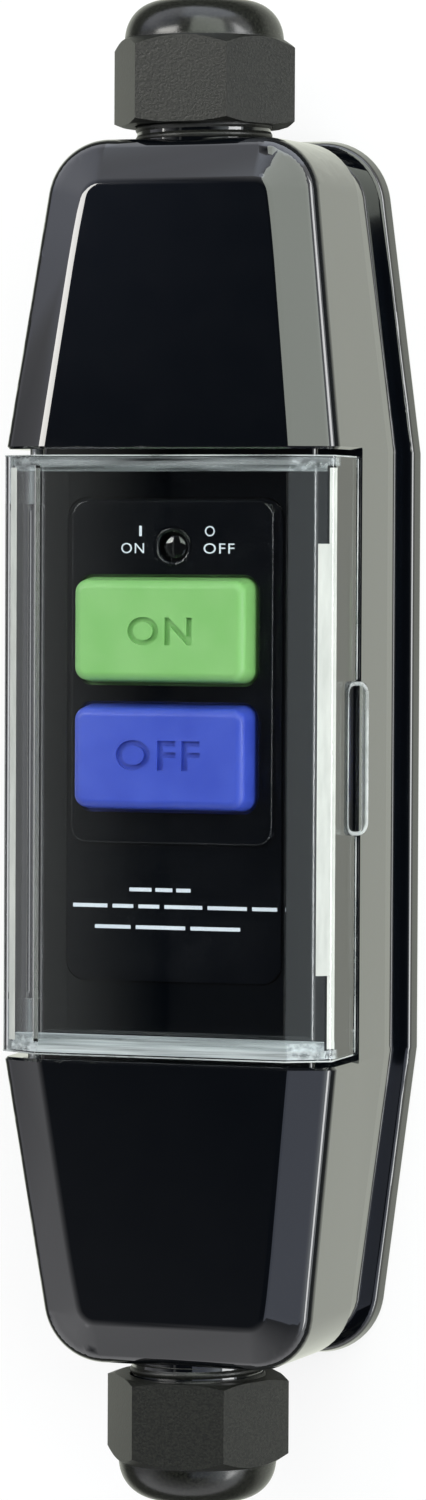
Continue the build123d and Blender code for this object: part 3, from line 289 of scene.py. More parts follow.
makeFloor(studio["floor"])
hangCard(studio["card"])
makeRoom(studio["walls"], studio["patches"])
for name, settings in studio["softboxes"].items():
    addSoftbox(name, *settings)
print("studio lit")

# Shared by the finishes: the noise's values between which one colour turns into the other, and between
# which the gloss drifts; the IOR, the clear coat's roughness, and a grain's depth for its width
finishLook = {"colorTurn": (0.35, 0.65), "glossDrift": (0.3, 0.7), "ior": 1.5, "coatRoughness": 0.02,
              "grainDepth": 0.1}


def makeFinish(name, color, shade, roughness, **more):
    # Two near colours drift into each other over mottleSize millimetres, and the gloss drifts by spread;
    # grain is how deep the surface texture looks, and grainSize is one grain's width in millimetres
    want = {"spread": 0.03, "coat": 0.0, "grain": 0.1, "grainSize": 0.4, "mottleSize": 6.0,
            "metallic": 0.0, "stretch": (1, 1, 1)} | finishLook | more
    material, tree, output = newMaterial(name)
    shader = addNode(tree, "ShaderNodeBsdfPrincipled", Metallic=want["metallic"], IOR=want["ior"],
                     Coat_Weight=want["coat"], Coat_Roughness=want["coatRoughness"])
    where = tree.nodes.new("ShaderNodeTexCoord")
    place = addNode(tree, "ShaderNodeMapping", {"Vector": where.outputs["Object"]}, Scale=want["stretch"])
    drift = addNode(tree, "ShaderNodeTexNoise", {"Vector": place.outputs[0]},
                    Scale=1000 / want["mottleSize"])
    paint = addNode(tree, "ShaderNodeValToRGB", {0: drift.outputs[0]})
    for element, turn, code in zip(paint.color_ramp.elements, want["colorTurn"], (color, shade)):
        element.position, element.color = turn, hexColor(code)
    gloss = addNode(tree, "ShaderNodeMapRange", {"Value": drift.outputs[0]},
                    From_Min=want["glossDrift"][0], From_Max=want["glossDrift"][1],
                    To_Min=roughness - want["spread"], To_Max=roughness + want["spread"])
    noise = addNode(tree, "ShaderNodeTexNoise", {"Vector": place.outputs[0]},
                    Scale=1000 / want["grainSize"])
    bump = addNode(tree, "ShaderNodeBump", {"Height": noise.outputs[0]}, Strength=want["grain"],
                   Distance=want["grainDepth"] * want["grainSize"] * mm)
    for socket, source in (("Base Color", paint), ("Roughness", gloss), ("Normal", bump)):
        tree.links.new(source.outputs[0], shader.inputs[socket])
    tree.links.new(shader.outputs[0], output.inputs["Surface"])
    return material


# The cover's clear plastic: its tint to the eye and for plain light, and its gloss, which drifts from
# none to the given roughness over driftSize millimetres
clearLook = {"tint": "#fafdfd", "lightTint": "#eef0f0", "ior": 1.5, "roughness": 0.02, "driftSize": 9.0}


def makeClear(name, look):
    # Clear to the eye and to mirrors, and lets plain light through to what lies under it
    material, tree, output = newMaterial(name)
    where = tree.nodes.new("ShaderNodeTexCoord")
    noise = addNode(tree, "ShaderNodeTexNoise", {"Vector": where.outputs["Object"]},
                    Scale=1000 / look["driftSize"])
    gloss = addNode(tree, "ShaderNodeMapRange", {"Value": noise.outputs[0]}, To_Min=0.0,
                    To_Max=look["roughness"])
    glass = addNode(tree, "ShaderNodeBsdfPrincipled", {"Roughness": gloss.outputs[0]},
                    Base_Color=hexColor(look["tint"]), IOR=look["ior"], Transmission_Weight=1.0)
    through = addNode(tree, "ShaderNodeBsdfTransparent", Color=hexColor(look["lightTint"]))
    rays = tree.nodes.new("ShaderNodeLightPath")
    either = addNode(tree, "ShaderNodeMath",
                     {0: rays.outputs["Is Shadow Ray"], 1: rays.outputs["Is Diffuse Ray"]},
                     operation="MAXIMUM")
    mixed = addNode(tree, "ShaderNodeMixShader",
                    {0: either.outputs[0], 1: glass.outputs[0], 2: through.outputs[0]})
    tree.links.new(mixed.outputs[0], output.inputs["Surface"])
    return material


# Gland nuts: grain width, and where along the cable the sandy hexagon turns into the polished dome,
# in millimetres; then roughness and depth of grain, on the hexagon and on the dome
glandLook = {"colors": ("#0b0c0a", "#1c1d19"), "grainSize": 0.36, "detail": 1.0, "domeFrom": 104.6,
             "domeTo": 105.2, "roughness": (0.4, 0.2), "grain": (1.0, 0.0), "ior": 1.53}


def makeNylon(look):
    # Roughness and grain fall from the sandy hexagon's values to the polished dome's along the cable
    material, tree, output = newMaterial("sparkErodedNylon")
    where = tree.nodes.new("ShaderNodeTexCoord")
    split = addNode(tree, "ShaderNodeSeparateXYZ", {0: where.outputs["Object"]})
    along = addNode(tree, "ShaderNodeMath", {0: split.outputs["Y"]}, operation="ABSOLUTE")
    span = {"From_Min": look["domeFrom"] * mm, "From_Max": look["domeTo"] * mm}
    gloss = addNode(tree, "ShaderNodeMapRange", {"Value": along.outputs[0]}, **span,
                    To_Min=look["roughness"][0], To_Max=look["roughness"][1])
    depth = addNode(tree, "ShaderNodeMapRange", {"Value": along.outputs[0]}, **span,
                    To_Min=look["grain"][0], To_Max=look["grain"][1])
    noise = addNode(tree, "ShaderNodeTexNoise", {"Vector": where.outputs["Object"]},
                    Scale=1000 / look["grainSize"], Detail=look["detail"])
    paint = addNode(tree, "ShaderNodeValToRGB", {0: noise.outputs[0]})
    for element, turn, code in zip(paint.color_ramp.elements, finishLook["colorTurn"], look["colors"]):
        element.position, element.color = turn, hexColor(code)
    bump = addNode(tree, "ShaderNodeBump", {"Height": noise.outputs[0], "Strength": depth.outputs[0]},
                   Distance=finishLook["grainDepth"] * look["grainSize"] * mm)
    shader = addNode(tree, "ShaderNodeBsdfPrincipled", {"Base Color": paint.outputs[0],
                     "Roughness": gloss.outputs[0], "Normal": bump.outputs[0]}, IOR=look["ior"])
    tree.links.new(shader.outputs[0], output.inputs["Surface"])
    return material


# What each finish is, and what that gives the eye
finishes = {
    # Injection-moulded ABS from a polished mould: a deep black mirror
    "housing_black": makeFinish("polishedBlackAbs", "#04060a", "#05070b", 0.04, spread=0.01, coat=1.0,
                                grain=0.0),
    # The same plastic under the cover, a little duller
    "panel_black": makeFinish("satinBlackAbs", "#05070c", "#07090e", 0.1, grain=0.15),
    # Moulded rubber: dull and even, with a faint bloom
    "seal_rubber": makeFinish("mouldedBlackRubber", "#0d0d0d", "#161615", 0.62, grain=0.3, grainSize=0.3),
    # Zinc-plated steel: pale grey metal, brushed by its tumbling
    "screw_steel": makeFinish("zincPlatedSteel", "#b4b6b8", "#9a9ea3", 0.3, metallic=1.0, grain=0.2,
                              grainSize=0.2),
    # Polycarbonate: glassy clear; the bright lines along its edges are painted highlights, milky pieces
    # drawn further down
    "cover_clear": makeClear("clearPolycarbonate", clearLook),
    # Smoked acrylic lens: almost black from outside
    "lens_clear": makeFinish("smokedAcrylic", "#07080a", "#0b0c0f", 0.05, coat=1.0, grain=0.0),
    # ABS coloured in the mass, with a fine satin texture
    "button_green": makeFinish("greenSatinAbs", "#7fb969", "#86bd70", 0.34, grain=0.2, grainSize=0.5),
    "button_blue": makeFinish("blueSatinAbs", "#3549b4", "#3c51bd", 0.34, grain=0.2, grainSize=0.5),
    # Lacquered red flag: even and half matt
    "flag_red": makeFinish("redLacquer", "#b01010", "#bc1a16", 0.45),
    # Polyamide from a spark-eroded mould, polished at the domes: sandy black flats and glossy black ends
    "gland_nylon": makeNylon(glandLook),
    # Screen-printed ink: flat off-white
    "print_white": makeFinish("offWhiteInk", "#dbe0ea", "#e6eaf2", 0.5),
    # Glass-filled PBT of the mechanism: milky and matt
    "frame_plastic": makeFinish("milkyPbt", "#cfcabd", "#dad6ca", 0.5, grain=0.3, grainSize=0.3),
    # Stamped brass strip: warm metal with fine rolling lines along it
    "contact_brass": makeFinish("stampedBrass", "#d8b25a", "#c49c48", 0.28, metallic=1.0, grain=0.25,
                                grainSize=0.5, stretch=(1, 0.1, 1)),
    # Drawn spring wire: bright with faint die marks
    "spring_steel": makeFinish("drawnSpringWire", "#a9adb2", "#8f949a", 0.25, metallic=1.0, grain=0.2,
                               grainSize=0.2),
    # Nickel-plated soft iron: warm grey, slightly cloudy
    "yoke_steel": makeFinish("nickelPlatedIron", "#b9b4a8", "#a29d92", 0.32, metallic=1.0,
                             mottleSize=3.0),
    # Enamelled copper winding: amber-brown rings one wire apart
    "coil_copper": makeFinish("enamelledCopper", "#b4602a", "#8a4218", 0.3, metallic=1.0, grain=1.0,
                              grainSize=0.6, mottleSize=0.6, stretch=(1, 0.05, 0.05)),
    # Glass-epoxy board under solder mask: glossy green with paler track edges
    "board_green": makeFinish("solderMaskBoard", "#0f5a2e", "#1b7a40", 0.25, grain=0.4, grainSize=1.2,
                              mottleSize=2.0),
    # Dipped epoxy: soft blue, orange-peel gloss
    "ring_blue": makeFinish("dippedBlueEpoxy", "#1f4fa8", "#2a5cb8", 0.25, grain=0.4, grainSize=1.5),
    # Potted film capacitor case: plain grey and matt
    "capacitor_grey": makeFinish("mattGreyPbt", "#8b8f92", "#969a9d", 0.5, grain=0.2),
    # Chip resin: charcoal with fine sandy grain
    "chip_black": makeFinish("chipResin", "#1b1c1e", "#242527", 0.55, grain=0.4, grainSize=0.2,
                             mottleSize=1.0),
    # Resistor lacquer: beige and half glossy
    "resistor_beige": makeFinish("beigeLacquer", "#cdb48a", "#d6bf98", 0.35, mottleSize=1.5),
    # Terminal blocks of white polyamide: slightly waxy
    "terminal_white": makeFinish("waxyPolyamide", "#dcdcd4", "#e6e6df", 0.42, grain=0.2),
    # PVC wire jackets: coloured, smooth, half glossy
    "wire_brown": makeFinish("brownPvcJacket", "#5a3016", "#663a1d", 0.38, grainSize=0.8),
    "wire_green": makeFinish("greenPvcJacket", "#3f8f3a", "#a8b32c", 0.38, mottleSize=3.0,
                             stretch=(1, 0.2, 1)),
}
slotOf = {row["node"]: row["material_slot"] for row in frame["record"]["subparts"]}
bodyOf = {node: body for body, nodes in frame["record"]["behaviour"]["bodies"].items() for node in nodes}
for name, slot in slotOf.items():
    frame["nodes"][name].data.materials.clear()
    frame["nodes"][name].data.materials.append(finishes[slot])
print("finishes on")


def joinedShape(node):
    # A node's own triangles, joined where their corners meet
    shape = bmesh.new()
    shape.from_mesh(frame["nodes"][node].data)
    bmesh.ops.remove_doubles(shape, verts=shape.verts, dist=mergeWithin)
    return shape


def finishShape(shape, name, node, flatAngle=0.2, sharpAngle=30.0, even=True):
    # Faces within flatAngle degrees of each other become one, and edges over sharpAngle stay sharp.
    # Where even, flat faces stay flat in their shading and rounded edges blend into them, which shows
    # in what they mirror.
    bmesh.ops.dissolve_limit(shape, angle_limit=math.radians(flatAngle), verts=shape.verts,
                             edges=shape.edges)
    for face in shape.faces:
        face.smooth = True
    for edge in shape.edges:
        edge.smooth = edge.calc_face_angle(0) < math.radians(sharpAngle)
    mesh = bpy.data.meshes.new(name)
    shape.to_mesh(mesh)
    shape.free()
    if "custom_normal" in mesh.attributes:
        mesh.attributes.remove(mesh.attributes["custom_normal"])
    mesh.materials.clear()
    mesh.materials.append(finishes[slotOf[node]])
    piece = bpy.data.objects.new(name, mesh)
    bpy.context.scene.collection.objects.link(piece)
    if even:
        weights = piece.modifiers.new("evenShading", "WEIGHTED_NORMAL")
        weights.keep_sharp = True
        weights.weight = 100  # the largest face decides
    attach(piece, bodyOf[node])
    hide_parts(node)
    return piece


def finishPiece(name, mesh, material, body, smooth=True):
    # A drawn piece: its faces turned outwards, with its material and body
    shape = bmesh.new()
    shape.from_mesh(mesh)
    bmesh.ops.recalc_face_normals(shape, faces=shape.faces)
    shape.to_mesh(mesh)
    shape.free()
    mesh.materials.append(material)
    mesh.polygons.foreach_set("use_smooth", [smooth] * len(mesh.polygons))
    piece = bpy.data.objects.new(name, mesh)
    bpy.context.scene.collection.objects.link(piece)
    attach(piece, body)


# Both sloping ends of the housing, in millimetres and degrees
endLook = {
    "slope": 0.12,  # fall of the top for each millimetre along Y
    "slopeStart": 44.5, "wallTop": 36.48,  # where that starts, and how low the rims' edges are there
    "innerRound": 3.3, "outerRound": 2.4,
    "middleY": 62.0,  # points round the rim are sorted by their turn about this
    "corner": (12.053, 81.2), "parting": 14.1,  # a corner's middle, at the parting line's height
    "lean": (0.01737, 0.02),  # how far that middle moves in for each millimetre of height
    "sideTurn": 7.41, "wallRise": 0.0199,  # the side wall's angle, and the rise of all walls' normals
}
# What counts as lying on a rim's rounding
rimMatch = {
    "flat": 0.999995, "wall": 0.0006,  # how closely a face beside it has to agree with top or wall
    "upward": 0.05,  # the normals of its own faces rise more than this
    "lowest": 29.0, "startGap": 0.1,  # how low its points go, and how far before the slope's start
    "step": 0.02,  # closer points of its edge count as one
    "inside": 0.04, "outside": 0.015,  # how far a point may miss the radius
    "faceTurn": 20.0,  # how far a face may turn from its normal
}


def denseCurve(points, count=20):
    # A cubic through the points: place and slope at both ends of each run, blended over the run
    along = np.concatenate([[0], np.cumsum(np.linalg.norm(np.diff(points, axis=0), axis=1))])
    slope = np.gradient(points, along, axis=0)
    u = np.linspace(0, 1, count, endpoint=False)[None, :, None]
    run = np.diff(along)[:, None, None]
    curve = ((2 * u ** 3 - 3 * u ** 2 + 1) * points[:-1, None]
             + (u ** 3 - 2 * u ** 2 + u) * run * slope[:-1, None]
             + (3 * u ** 2 - 2 * u ** 3) * points[1:, None]
             + (u ** 3 - u ** 2) * run * slope[1:, None])
    return curve.reshape(-1, 3)


def unit(vectors):
    return vectors / np.linalg.norm(vectors, axis=1)[:, None]


def rimNormals(points, faceOfLoop, vertexOfLoop, faceNormals, side, look, match):
    # On a rounding of radius r, the normal points from the line that a ball of that radius rolls along.
    # That line lies r under the edge where the rounding meets a face whose own normal is known.
    flat = np.array([0, side * look["slope"], 1]) / math.hypot(1, look["slope"])
    isFlat = faceNormals @ flat > match["flat"]
    isWall = np.abs(faceNormals[:, 2] - look["wallRise"]) < match["wall"]
    facesUp = faceNormals[:, 2] > match["upward"]
    out = side * points[:, 1] - look["slopeStart"]
    high = points[:, 2] > look["wallTop"] - look["slope"] * out
    near = np.flatnonzero((points[:, 2] > match["lowest"]) & (out > -match["startGap"]))
    found = []
    for isFace, radius in ((isFlat, look["innerRound"]), (isWall, look["outerRound"])):
        on, off = np.zeros(len(points), bool), np.zeros(len(points), bool)
        on[vertexOfLoop[isFace[faceOfLoop]]] = True
        off[vertexOfLoop[(~isFace & facesUp)[faceOfLoop]]] = True
        edge = points[on & off & high & (out > match["startGap"])]
        turn = (np.arctan2(side * edge[:, 1] - look["middleY"], edge[:, 0]) + np.pi / 2) % (2 * np.pi)
        edge = edge[np.argsort(turn)]
        edge = edge[np.r_[True, np.linalg.norm(np.diff(edge, axis=0), axis=1) > match["step"]]]
        if isFace is isFlat:
            normal = np.tile(flat, (len(edge), 1))
        else:
            middle = np.array(look["corner"]) - np.array(look["lean"]) * (edge[:, 2:] - look["parting"])
            angle = np.arctan2(side * edge[:, 1] - middle[:, 1], np.abs(edge[:, 0]) - middle[:, 0])
            angle = np.clip(angle, math.radians(look["sideTurn"]), np.pi / 2)
            normal = unit(np.stack([np.cos(angle) * np.sign(edge[:, 0]), side * np.sin(angle),
                                    np.full(len(edge), look["wallRise"])], -1))
        line = denseCurve(edge - radius * normal)
        away = points[near][:, None] - line[None]
        closest = np.argmin((away ** 2).sum(-1), axis=1)
        away = away[np.arange(len(near)), closest]
        ahead = unit(np.gradient(line, axis=0)[closest])
        away -= (away * ahead).sum(1)[:, None] * ahead
        length = np.linalg.norm(away, axis=1)
        good = (length > radius - match["inside"]) & (length < radius + match["outside"])
        found.append((near[good], unit(away[good])))
    return found


def readValues(items, field, count, kind=float):
    # One field of all items, as rows of count numbers
    values = np.empty(len(items) * count, kind)
    items.foreach_get(field, values)
    return values.reshape(-1, count) if count > 1 else values


def evenRims(piece, look, match):
    # Corners of faces that lie on a rim's rounding get the rounding's own normal
    graph = bpy.context.evaluated_depsgraph_get()
    mesh = bpy.data.meshes.new_from_object(piece.evaluated_get(graph))
    piece.modifiers.clear()
    mesh.name = piece.name
    points = readValues(mesh.vertices, "co", 3) / mm
    faceNormals = readValues(mesh.polygons, "normal", 3)
    loopNormals = readValues(mesh.corner_normals, "vector", 3)
    vertexOfLoop = readValues(mesh.loops, "vertex_index", 1, int)
    counts = readValues(mesh.polygons, "loop_total", 1, int)
    faceOfLoop = np.repeat(np.arange(len(counts)), counts)
    wanted = np.zeros_like(points)
    for side in (1, -1):
        roundings = rimNormals(points, faceOfLoop, vertexOfLoop, faceNormals, side, look, match)
        for which, normals in roundings:
            wanted[which] = normals
    agree = (wanted[vertexOfLoop] * faceNormals[faceOfLoop]).sum(1)
    onRim = agree > math.cos(math.radians(match["faceTurn"]))
    loopNormals[onRim] = wanted[vertexOfLoop][onRim]
    mesh.normals_split_custom_set(loopNormals.tolist())
    piece.data = mesh


for node in ("front_shell", "rear_shell", "flip_cover", "button_panel"):
    moulding = finishShape(joinedShape(node), node + "_moulding", node)
    if node == "front_shell":
        evenRims(moulding, endLook, rimMatch)

# Springs: the joint, and the axis that they lie along
springFits = {"reset_spring": ("reset_press", 2), "test_spring": ("test_press", 2),
              "plunger_spring": ("latch_pull", 1)}
for node, (joint, axis) in springFits.items():
    wire = finishShape(joinedShape(node), node + "_coil", node, even=False)
    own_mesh(wire)
print("mouldings shaded")

# Streaks: the noise's detail, the values of it between which clear turns milky, and the clear part's tint
streakLook = {"detail": 3.0, "turn": (0.35, 0.65), "clear": "#f4f6f6"}


def makeStreaky(name, color, milk, grainLong, grainWide):
    # Clear plastic with milky streaks inside, for frost and for painted highlights: milk says how much of
    # it scatters light, from its clearest to its whitest streak; a streak is grainLong millimetres along
    # X and grainWide along Y
    material, tree, output = newMaterial(name)
    where = tree.nodes.new("ShaderNodeTexCoord")
    place = addNode(tree, "ShaderNodeMapping", {"Vector": where.outputs["Object"]},
                    Scale=(1000 / grainLong, 1000 / grainWide, 1000 / grainWide))
    noise = addNode(tree, "ShaderNodeTexNoise", {"Vector": place.outputs[0]}, Scale=1.0,
                    Detail=streakLook["detail"])
    share = addNode(tree, "ShaderNodeMapRange", {"Value": noise.outputs[0]},
                    From_Min=streakLook["turn"][0], From_Max=streakLook["turn"][1],
                    To_Min=milk[0], To_Max=milk[1])
    clear = addNode(tree, "ShaderNodeBsdfTransparent", Color=hexColor(streakLook["clear"]))
    white = addNode(tree, "ShaderNodeBsdfPrincipled", {"Roughness": share.outputs[0]},
                    Base_Color=hexColor(color))
    mixed = addNode(tree, "ShaderNodeMixShader",
                    {0: share.outputs[0], 1: clear.outputs[0], 2: white.outputs[0]})
    tree.links.new(mixed.outputs[0], output.inputs["Surface"])
    return material


# Half clear polycarbonate with milky streaks: a painted light band in the end-wall bars, frost at the
# grip with painted highlights along the corners, and painted highlight lines on the edges
topLightBandFinish = makeStreaky("paintedLightBandPolycarbonate", "#d4d8da", (0.0, 0.4), 22.0, 0.9)
lowLightBandFinish = makeStreaky("paintedLightBandThickBar", "#d4d8da", (0.15, 0.75), 26.0, 0.8)
frostAndHighlightFinish = makeStreaky("frostedAndPaintedHighlightPolycarbonate", "#c2c2bd", (0.8, 1.0), 1.4, 9.0)
edgeHighlightFinish = makeStreaky("paintedHighlightEdge", "#c4c7c6", (0.25, 0.75), 12.0, 6.0)

# Cover details in millimetres, in the part's frame: the thick bars along both end walls, whose milky
# streaks paint a light band; the frosted grip inside its right edge, and thin strips along both upper
# corners that paint highlights; milky tubes along the edges and round the finger tab as a bead, which
# paint bright highlight lines. Points say how many each straight run is drawn with.
coverDetail = {
    "barSection": [(-23.4, 35.6), (-23.4, 37.5), (-18.9, 40.8), (18.9, 40.8), (23.4, 37.5), (23.4, 35.6)],
    "bars": {"cover_top_bar": (41.3, 43.3, topLightBandFinish),
             "cover_bottom_bar": (-43.35, -41.0, lowLightBandFinish)},
    "frostAndHighlight": {"cover_grip_frost": ((22.9, 39.75), (24.75, 38.55), (-31.2, 30.9)),
              "cover_right_corner": ((24.3, 38.75), (24.95, 37.9), (-41.8, 41.8)),
              "cover_left_corner": ((-23.95, 39.38), (-22.75, 40.12), (-41.8, 41.8))},
    "sheetThick": 0.25,
    "edgeSection": [(-25.1, 29.5), (-25.1, 38.85), (-19.2, 42.5), (19.2, 42.5), (25.1, 38.85),
                    (25.1, 28.0)],
    "edges": {"cover_top_edge": 43.52, "cover_bottom_edge": -43.52},
    "edgeRadius": 0.11, "edgePoints": 23,
    "sideEdge": {"x": 25.05, "z": 27.25, "radius": 0.2, "points": 9,
                 "runs": {"cover_side_edge_upper": (11.2, 43.2),
                          "cover_side_edge_lower": (-43.2, -11.7)}},
    "tab": {"middle": (25.75, -0.25, 29.2), "half": (0.95, 10.9, 2.0), "halfSlope": 1.95, "corner": 1.6,
            "radius": 0.3},
}


def sweepRing(name, path, radius, material, body, closed, sides=12, upright=(0.02, 0.04, 1.0)):
    # A circle carried along a path: each ring stands square to the path's direction there, and starts
    # beside a nearly upright line that no path here runs along
    path = np.asarray(path, float)
    if closed:
        ahead = np.roll(path, -1, 0) - np.roll(path, 1, 0)
    else:
        ahead = np.gradient(path, axis=0)
    ahead = unit(ahead)
    side = unit(np.cross(ahead, upright))
    up = np.cross(side, ahead)
    angle = np.linspace(0, 2 * np.pi, sides, endpoint=False)
    ring = np.cos(angle)[None, :, None] * side[:, None] + np.sin(angle)[None, :, None] * up[:, None]
    points = path[:, None] + radius * ring
    faces = gridFaces(len(path), sides, wrapRows=closed, wrapColumns=True).tolist()
    if not closed:
        last = len(path) * sides
        faces += [list(range(sides)), list(range(last - 1, last - sides - 1, -1))]
    mesh = bpy.data.meshes.new(name)
    mesh.from_pydata((points.reshape(-1, 3) * mm).tolist(), [], faces)
    finishPiece(name, mesh, material, body)


def extrudeSection(name, section, along, material, body):
    # A closed outline in X and Z, drawn out along Y and closed at both ends
    count = len(section)
    points = [(x, y, z) for y in along for x, z in section]
    faces = [(i, (i + 1) % count, count + (i + 1) % count, count + i) for i in range(count)]
    faces += [tuple(range(count)), tuple(range(2 * count - 1, count - 1, -1))]
    mesh = bpy.data.meshes.new(name)
    mesh.from_pydata([[c * mm for c in point] for point in points], [], faces)
    finishPiece(name, mesh, material, body, smooth=False)


def roundedLoop(half, corner, count=10):
    # Points round a rectangle with rounded corners, lengthways first
    angle = np.linspace(0, np.pi / 2, count)
    arc = np.stack([np.cos(angle), np.sin(angle)], -1) * corner
    inner = np.array(half) - corner
    turns = [((1, 1), arc), ((-1, 1), arc[::-1]), ((-1, -1), arc), ((1, -1), arc[::-1])]
    return np.concatenate([(inner + part) * np.array(sign) for sign, part in turns])


def makeCoverDetail(settings):
    # Each bar's milky streaks paint the light band along its end wall
    for name, (low, high, finish) in settings["bars"].items():
        extrudeSection(name, settings["barSection"], (low, high), finish, "cover")
    # Thin milky sheets: frost inside the grip, and painted highlights along both upper corners
    for name, ((x0, z0), (x1, z1), along) in settings["frostAndHighlight"].items():
        under = settings["sheetThick"]
        outline = [(x0, z0), (x1, z1), (x1, z1 - under), (x0, z0 - under)]
        extrudeSection(name, outline, along, frostAndHighlightFinish, "cover")
    # Milky tubes along the edges, the side and round the tab paint bright highlight lines
    for name, y in settings["edges"].items():
        corners = np.array(settings["edgeSection"], float)
        runs = [np.linspace(a, b, settings["edgePoints"], endpoint=False)
                for a, b in zip(corners[:-1], corners[1:])]
        line = np.concatenate(runs + [corners[-1:]])
        path = np.stack([line[:, 0], np.full(len(line), y), line[:, 1]], -1)
        sweepRing(name, path, settings["edgeRadius"], edgeHighlightFinish, "cover", closed=False)
    side = settings["sideEdge"]
    for name, ends in side["runs"].items():
        path = np.linspace((side["x"], ends[0], side["z"]), (side["x"], ends[1], side["z"]),
                           side["points"])
        sweepRing(name, path, side["radius"], edgeHighlightFinish, "cover", closed=False)
    tab = settings["tab"]
    loop = roundedLoop((tab["half"][1], tab["halfSlope"]), tab["corner"])
    slope = loop[:, 1] / tab["halfSlope"]
    path = np.stack([tab["middle"][0] + slope * tab["half"][0], tab["middle"][1] + loop[:, 0],
                     tab["middle"][2] - slope * tab["half"][2]], -1)
    sweepRing("cover_tab_bead", path, tab["radius"], edgeHighlightFinish, "cover", closed=True)


makeCoverDetail(coverDetail)
print("cover detailed")

# Letters in millimetres: words, middle across and along, then width and height. They reach from under
# to over their face: cutters stand out of it, and ink is a few hundredths thick. Stroke makes them
# bolder by a share of the type's size, and spacing sets them further apart.
typeLook = {"spacing": 1.15, "resolution": 6}
engraving = {
    "reach": (-0.6, 0.5), "stroke": 0.022,
    "letters": {
        "reset_button": ("ON", (-0.6, 18.15), (9.8, 4.1)),
        "test_button": ("OFF", (-0.8, 0.15), (12.8, 4.4)),
    },
}
panelPrint = {
    "reach": (-0.1, 0.03), "stroke": 0.0,
    "letters": {
        "on_sign": ("I", (-5.0, 32.65), (0.4, 1.5)),
        "on_print": ("ON", (-6.2, 30.15), (3.5, 1.5)),
        "off_sign": ("O", (5.6, 32.65), (1.5, 1.5)),
        "off_print": ("OFF", (7.0, 30.15), (4.7, 1.5)),
    },
}
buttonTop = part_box("reset_button")[1][2] / mm
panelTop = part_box("button_panel")[1][2] / mm


def letterMesh(name, words, middle, size, level, settings):
    # Type made solid, then stretched so that its box has the wanted size and lies at the face's level
    curve = bpy.data.curves.new(name, "FONT")
    curve.body = words
    curve.space_character = typeLook["spacing"]
    curve.extrude = 0.1  # any thickness, because the type is stretched
    curve.offset = settings["stroke"]
    curve.resolution_u = typeLook["resolution"]
    holder = bpy.data.objects.new(name, curve)
    bpy.context.scene.collection.objects.link(holder)
    graph = bpy.context.evaluated_depsgraph_get()
    mesh = bpy.data.meshes.new_from_object(holder.evaluated_get(graph))
    bpy.data.objects.remove(holder)
    points = readValues(mesh.vertices, "co", 3)
    low, high = points.min(0), points.max(0)
    under, over = settings["reach"]
    wantedLow = np.array([middle[0] - size[0] / 2, middle[1] - size[1] / 2, level + under])
    wantedHigh = np.array([middle[0] + size[0] / 2, middle[1] + size[1] / 2, level + over])
    points = wantedLow + (points - low) / (high - low) * (wantedHigh - wantedLow)
    mesh.vertices.foreach_set("co", (points * mm).ravel())
    return mesh


def engraveButton(node, letters):
    # The button's own shape less the solid type
    cutter = bpy.data.objects.new(node + "_cutter", letters)
    blank = bpy.data.meshes.new(node + "_blank")
    shape = joinedShape(node)
    shape.to_mesh(blank)
    shape.free()
    holder = bpy.data.objects.new(node + "_blank", blank)
    for item in (cutter, holder):
        bpy.context.scene.collection.objects.link(item)
    cut = holder.modifiers.new("engraving", "BOOLEAN")
    cut.operation, cut.solver, cut.object = "DIFFERENCE", "EXACT", cutter
    graph = bpy.context.evaluated_depsgraph_get()
    carved = bpy.data.meshes.new_from_object(holder.evaluated_get(graph))
    shape = bmesh.new()
    shape.from_mesh(carved)
    for item in (cutter, holder):
        bpy.data.objects.remove(item)
    print(node, "engraved,", len(blank.polygons), "->", len(carved.polygons), "faces")
    finishShape(shape, node + "_cap", node)


for node, words in engraving["letters"].items():
    engraveButton(node, letterMesh(node + "_letters", *words, buttonTop, engraving))
for name, words in panelPrint["letters"].items():
    ink = letterMesh(name, *words, panelTop, panelPrint)
    finishPiece(name, ink, finishes["print_white"], "housing")
print("letters cut and printed")

# Round indicator, in millimetres: a rounded rim set into the panel and a domed lens over the flag, whose
# dome stops domeEdge, an angle in radians, short of an ellipse's side
indicatorLook = {"middle": (-0.2, 30.35), "rimInner": 2.2, "rimOuter": 3.04, "rimTop": 35.7,
                 "rimFloor": 33.9, "rimPoints": 15, "domeRadius": 1.85, "domeRise": 0.4,
                 "domeFoot": 34.35, "domeEdge": 0.15, "domeUnder": 0.3, "domePoints": 12}


def spinProfile(name, profile, middle, material, count=64):
    # Radius and height along a profile, turned round the upright through the middle; both ends reach it
    # or meet each other
    angle = np.linspace(0, 2 * np.pi, count, endpoint=False)
    radius, height = np.asarray(profile, float).T[:, :, None]
    points = np.stack([middle[0] + radius * np.cos(angle), middle[1] + radius * np.sin(angle),
                       height * np.ones_like(angle)], -1)
    piece = addMesh(name, points * mm, gridFaces(len(profile), count, wrapRows=True, wrapColumns=True),
                    material)
    shape = bmesh.new()
    shape.from_mesh(piece.data)
    bmesh.ops.remove_doubles(shape, verts=shape.verts, dist=mergeWithin)
    bmesh.ops.recalc_face_normals(shape, faces=shape.faces)
    shape.to_mesh(piece.data)
    shape.free()
    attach(piece, "housing")


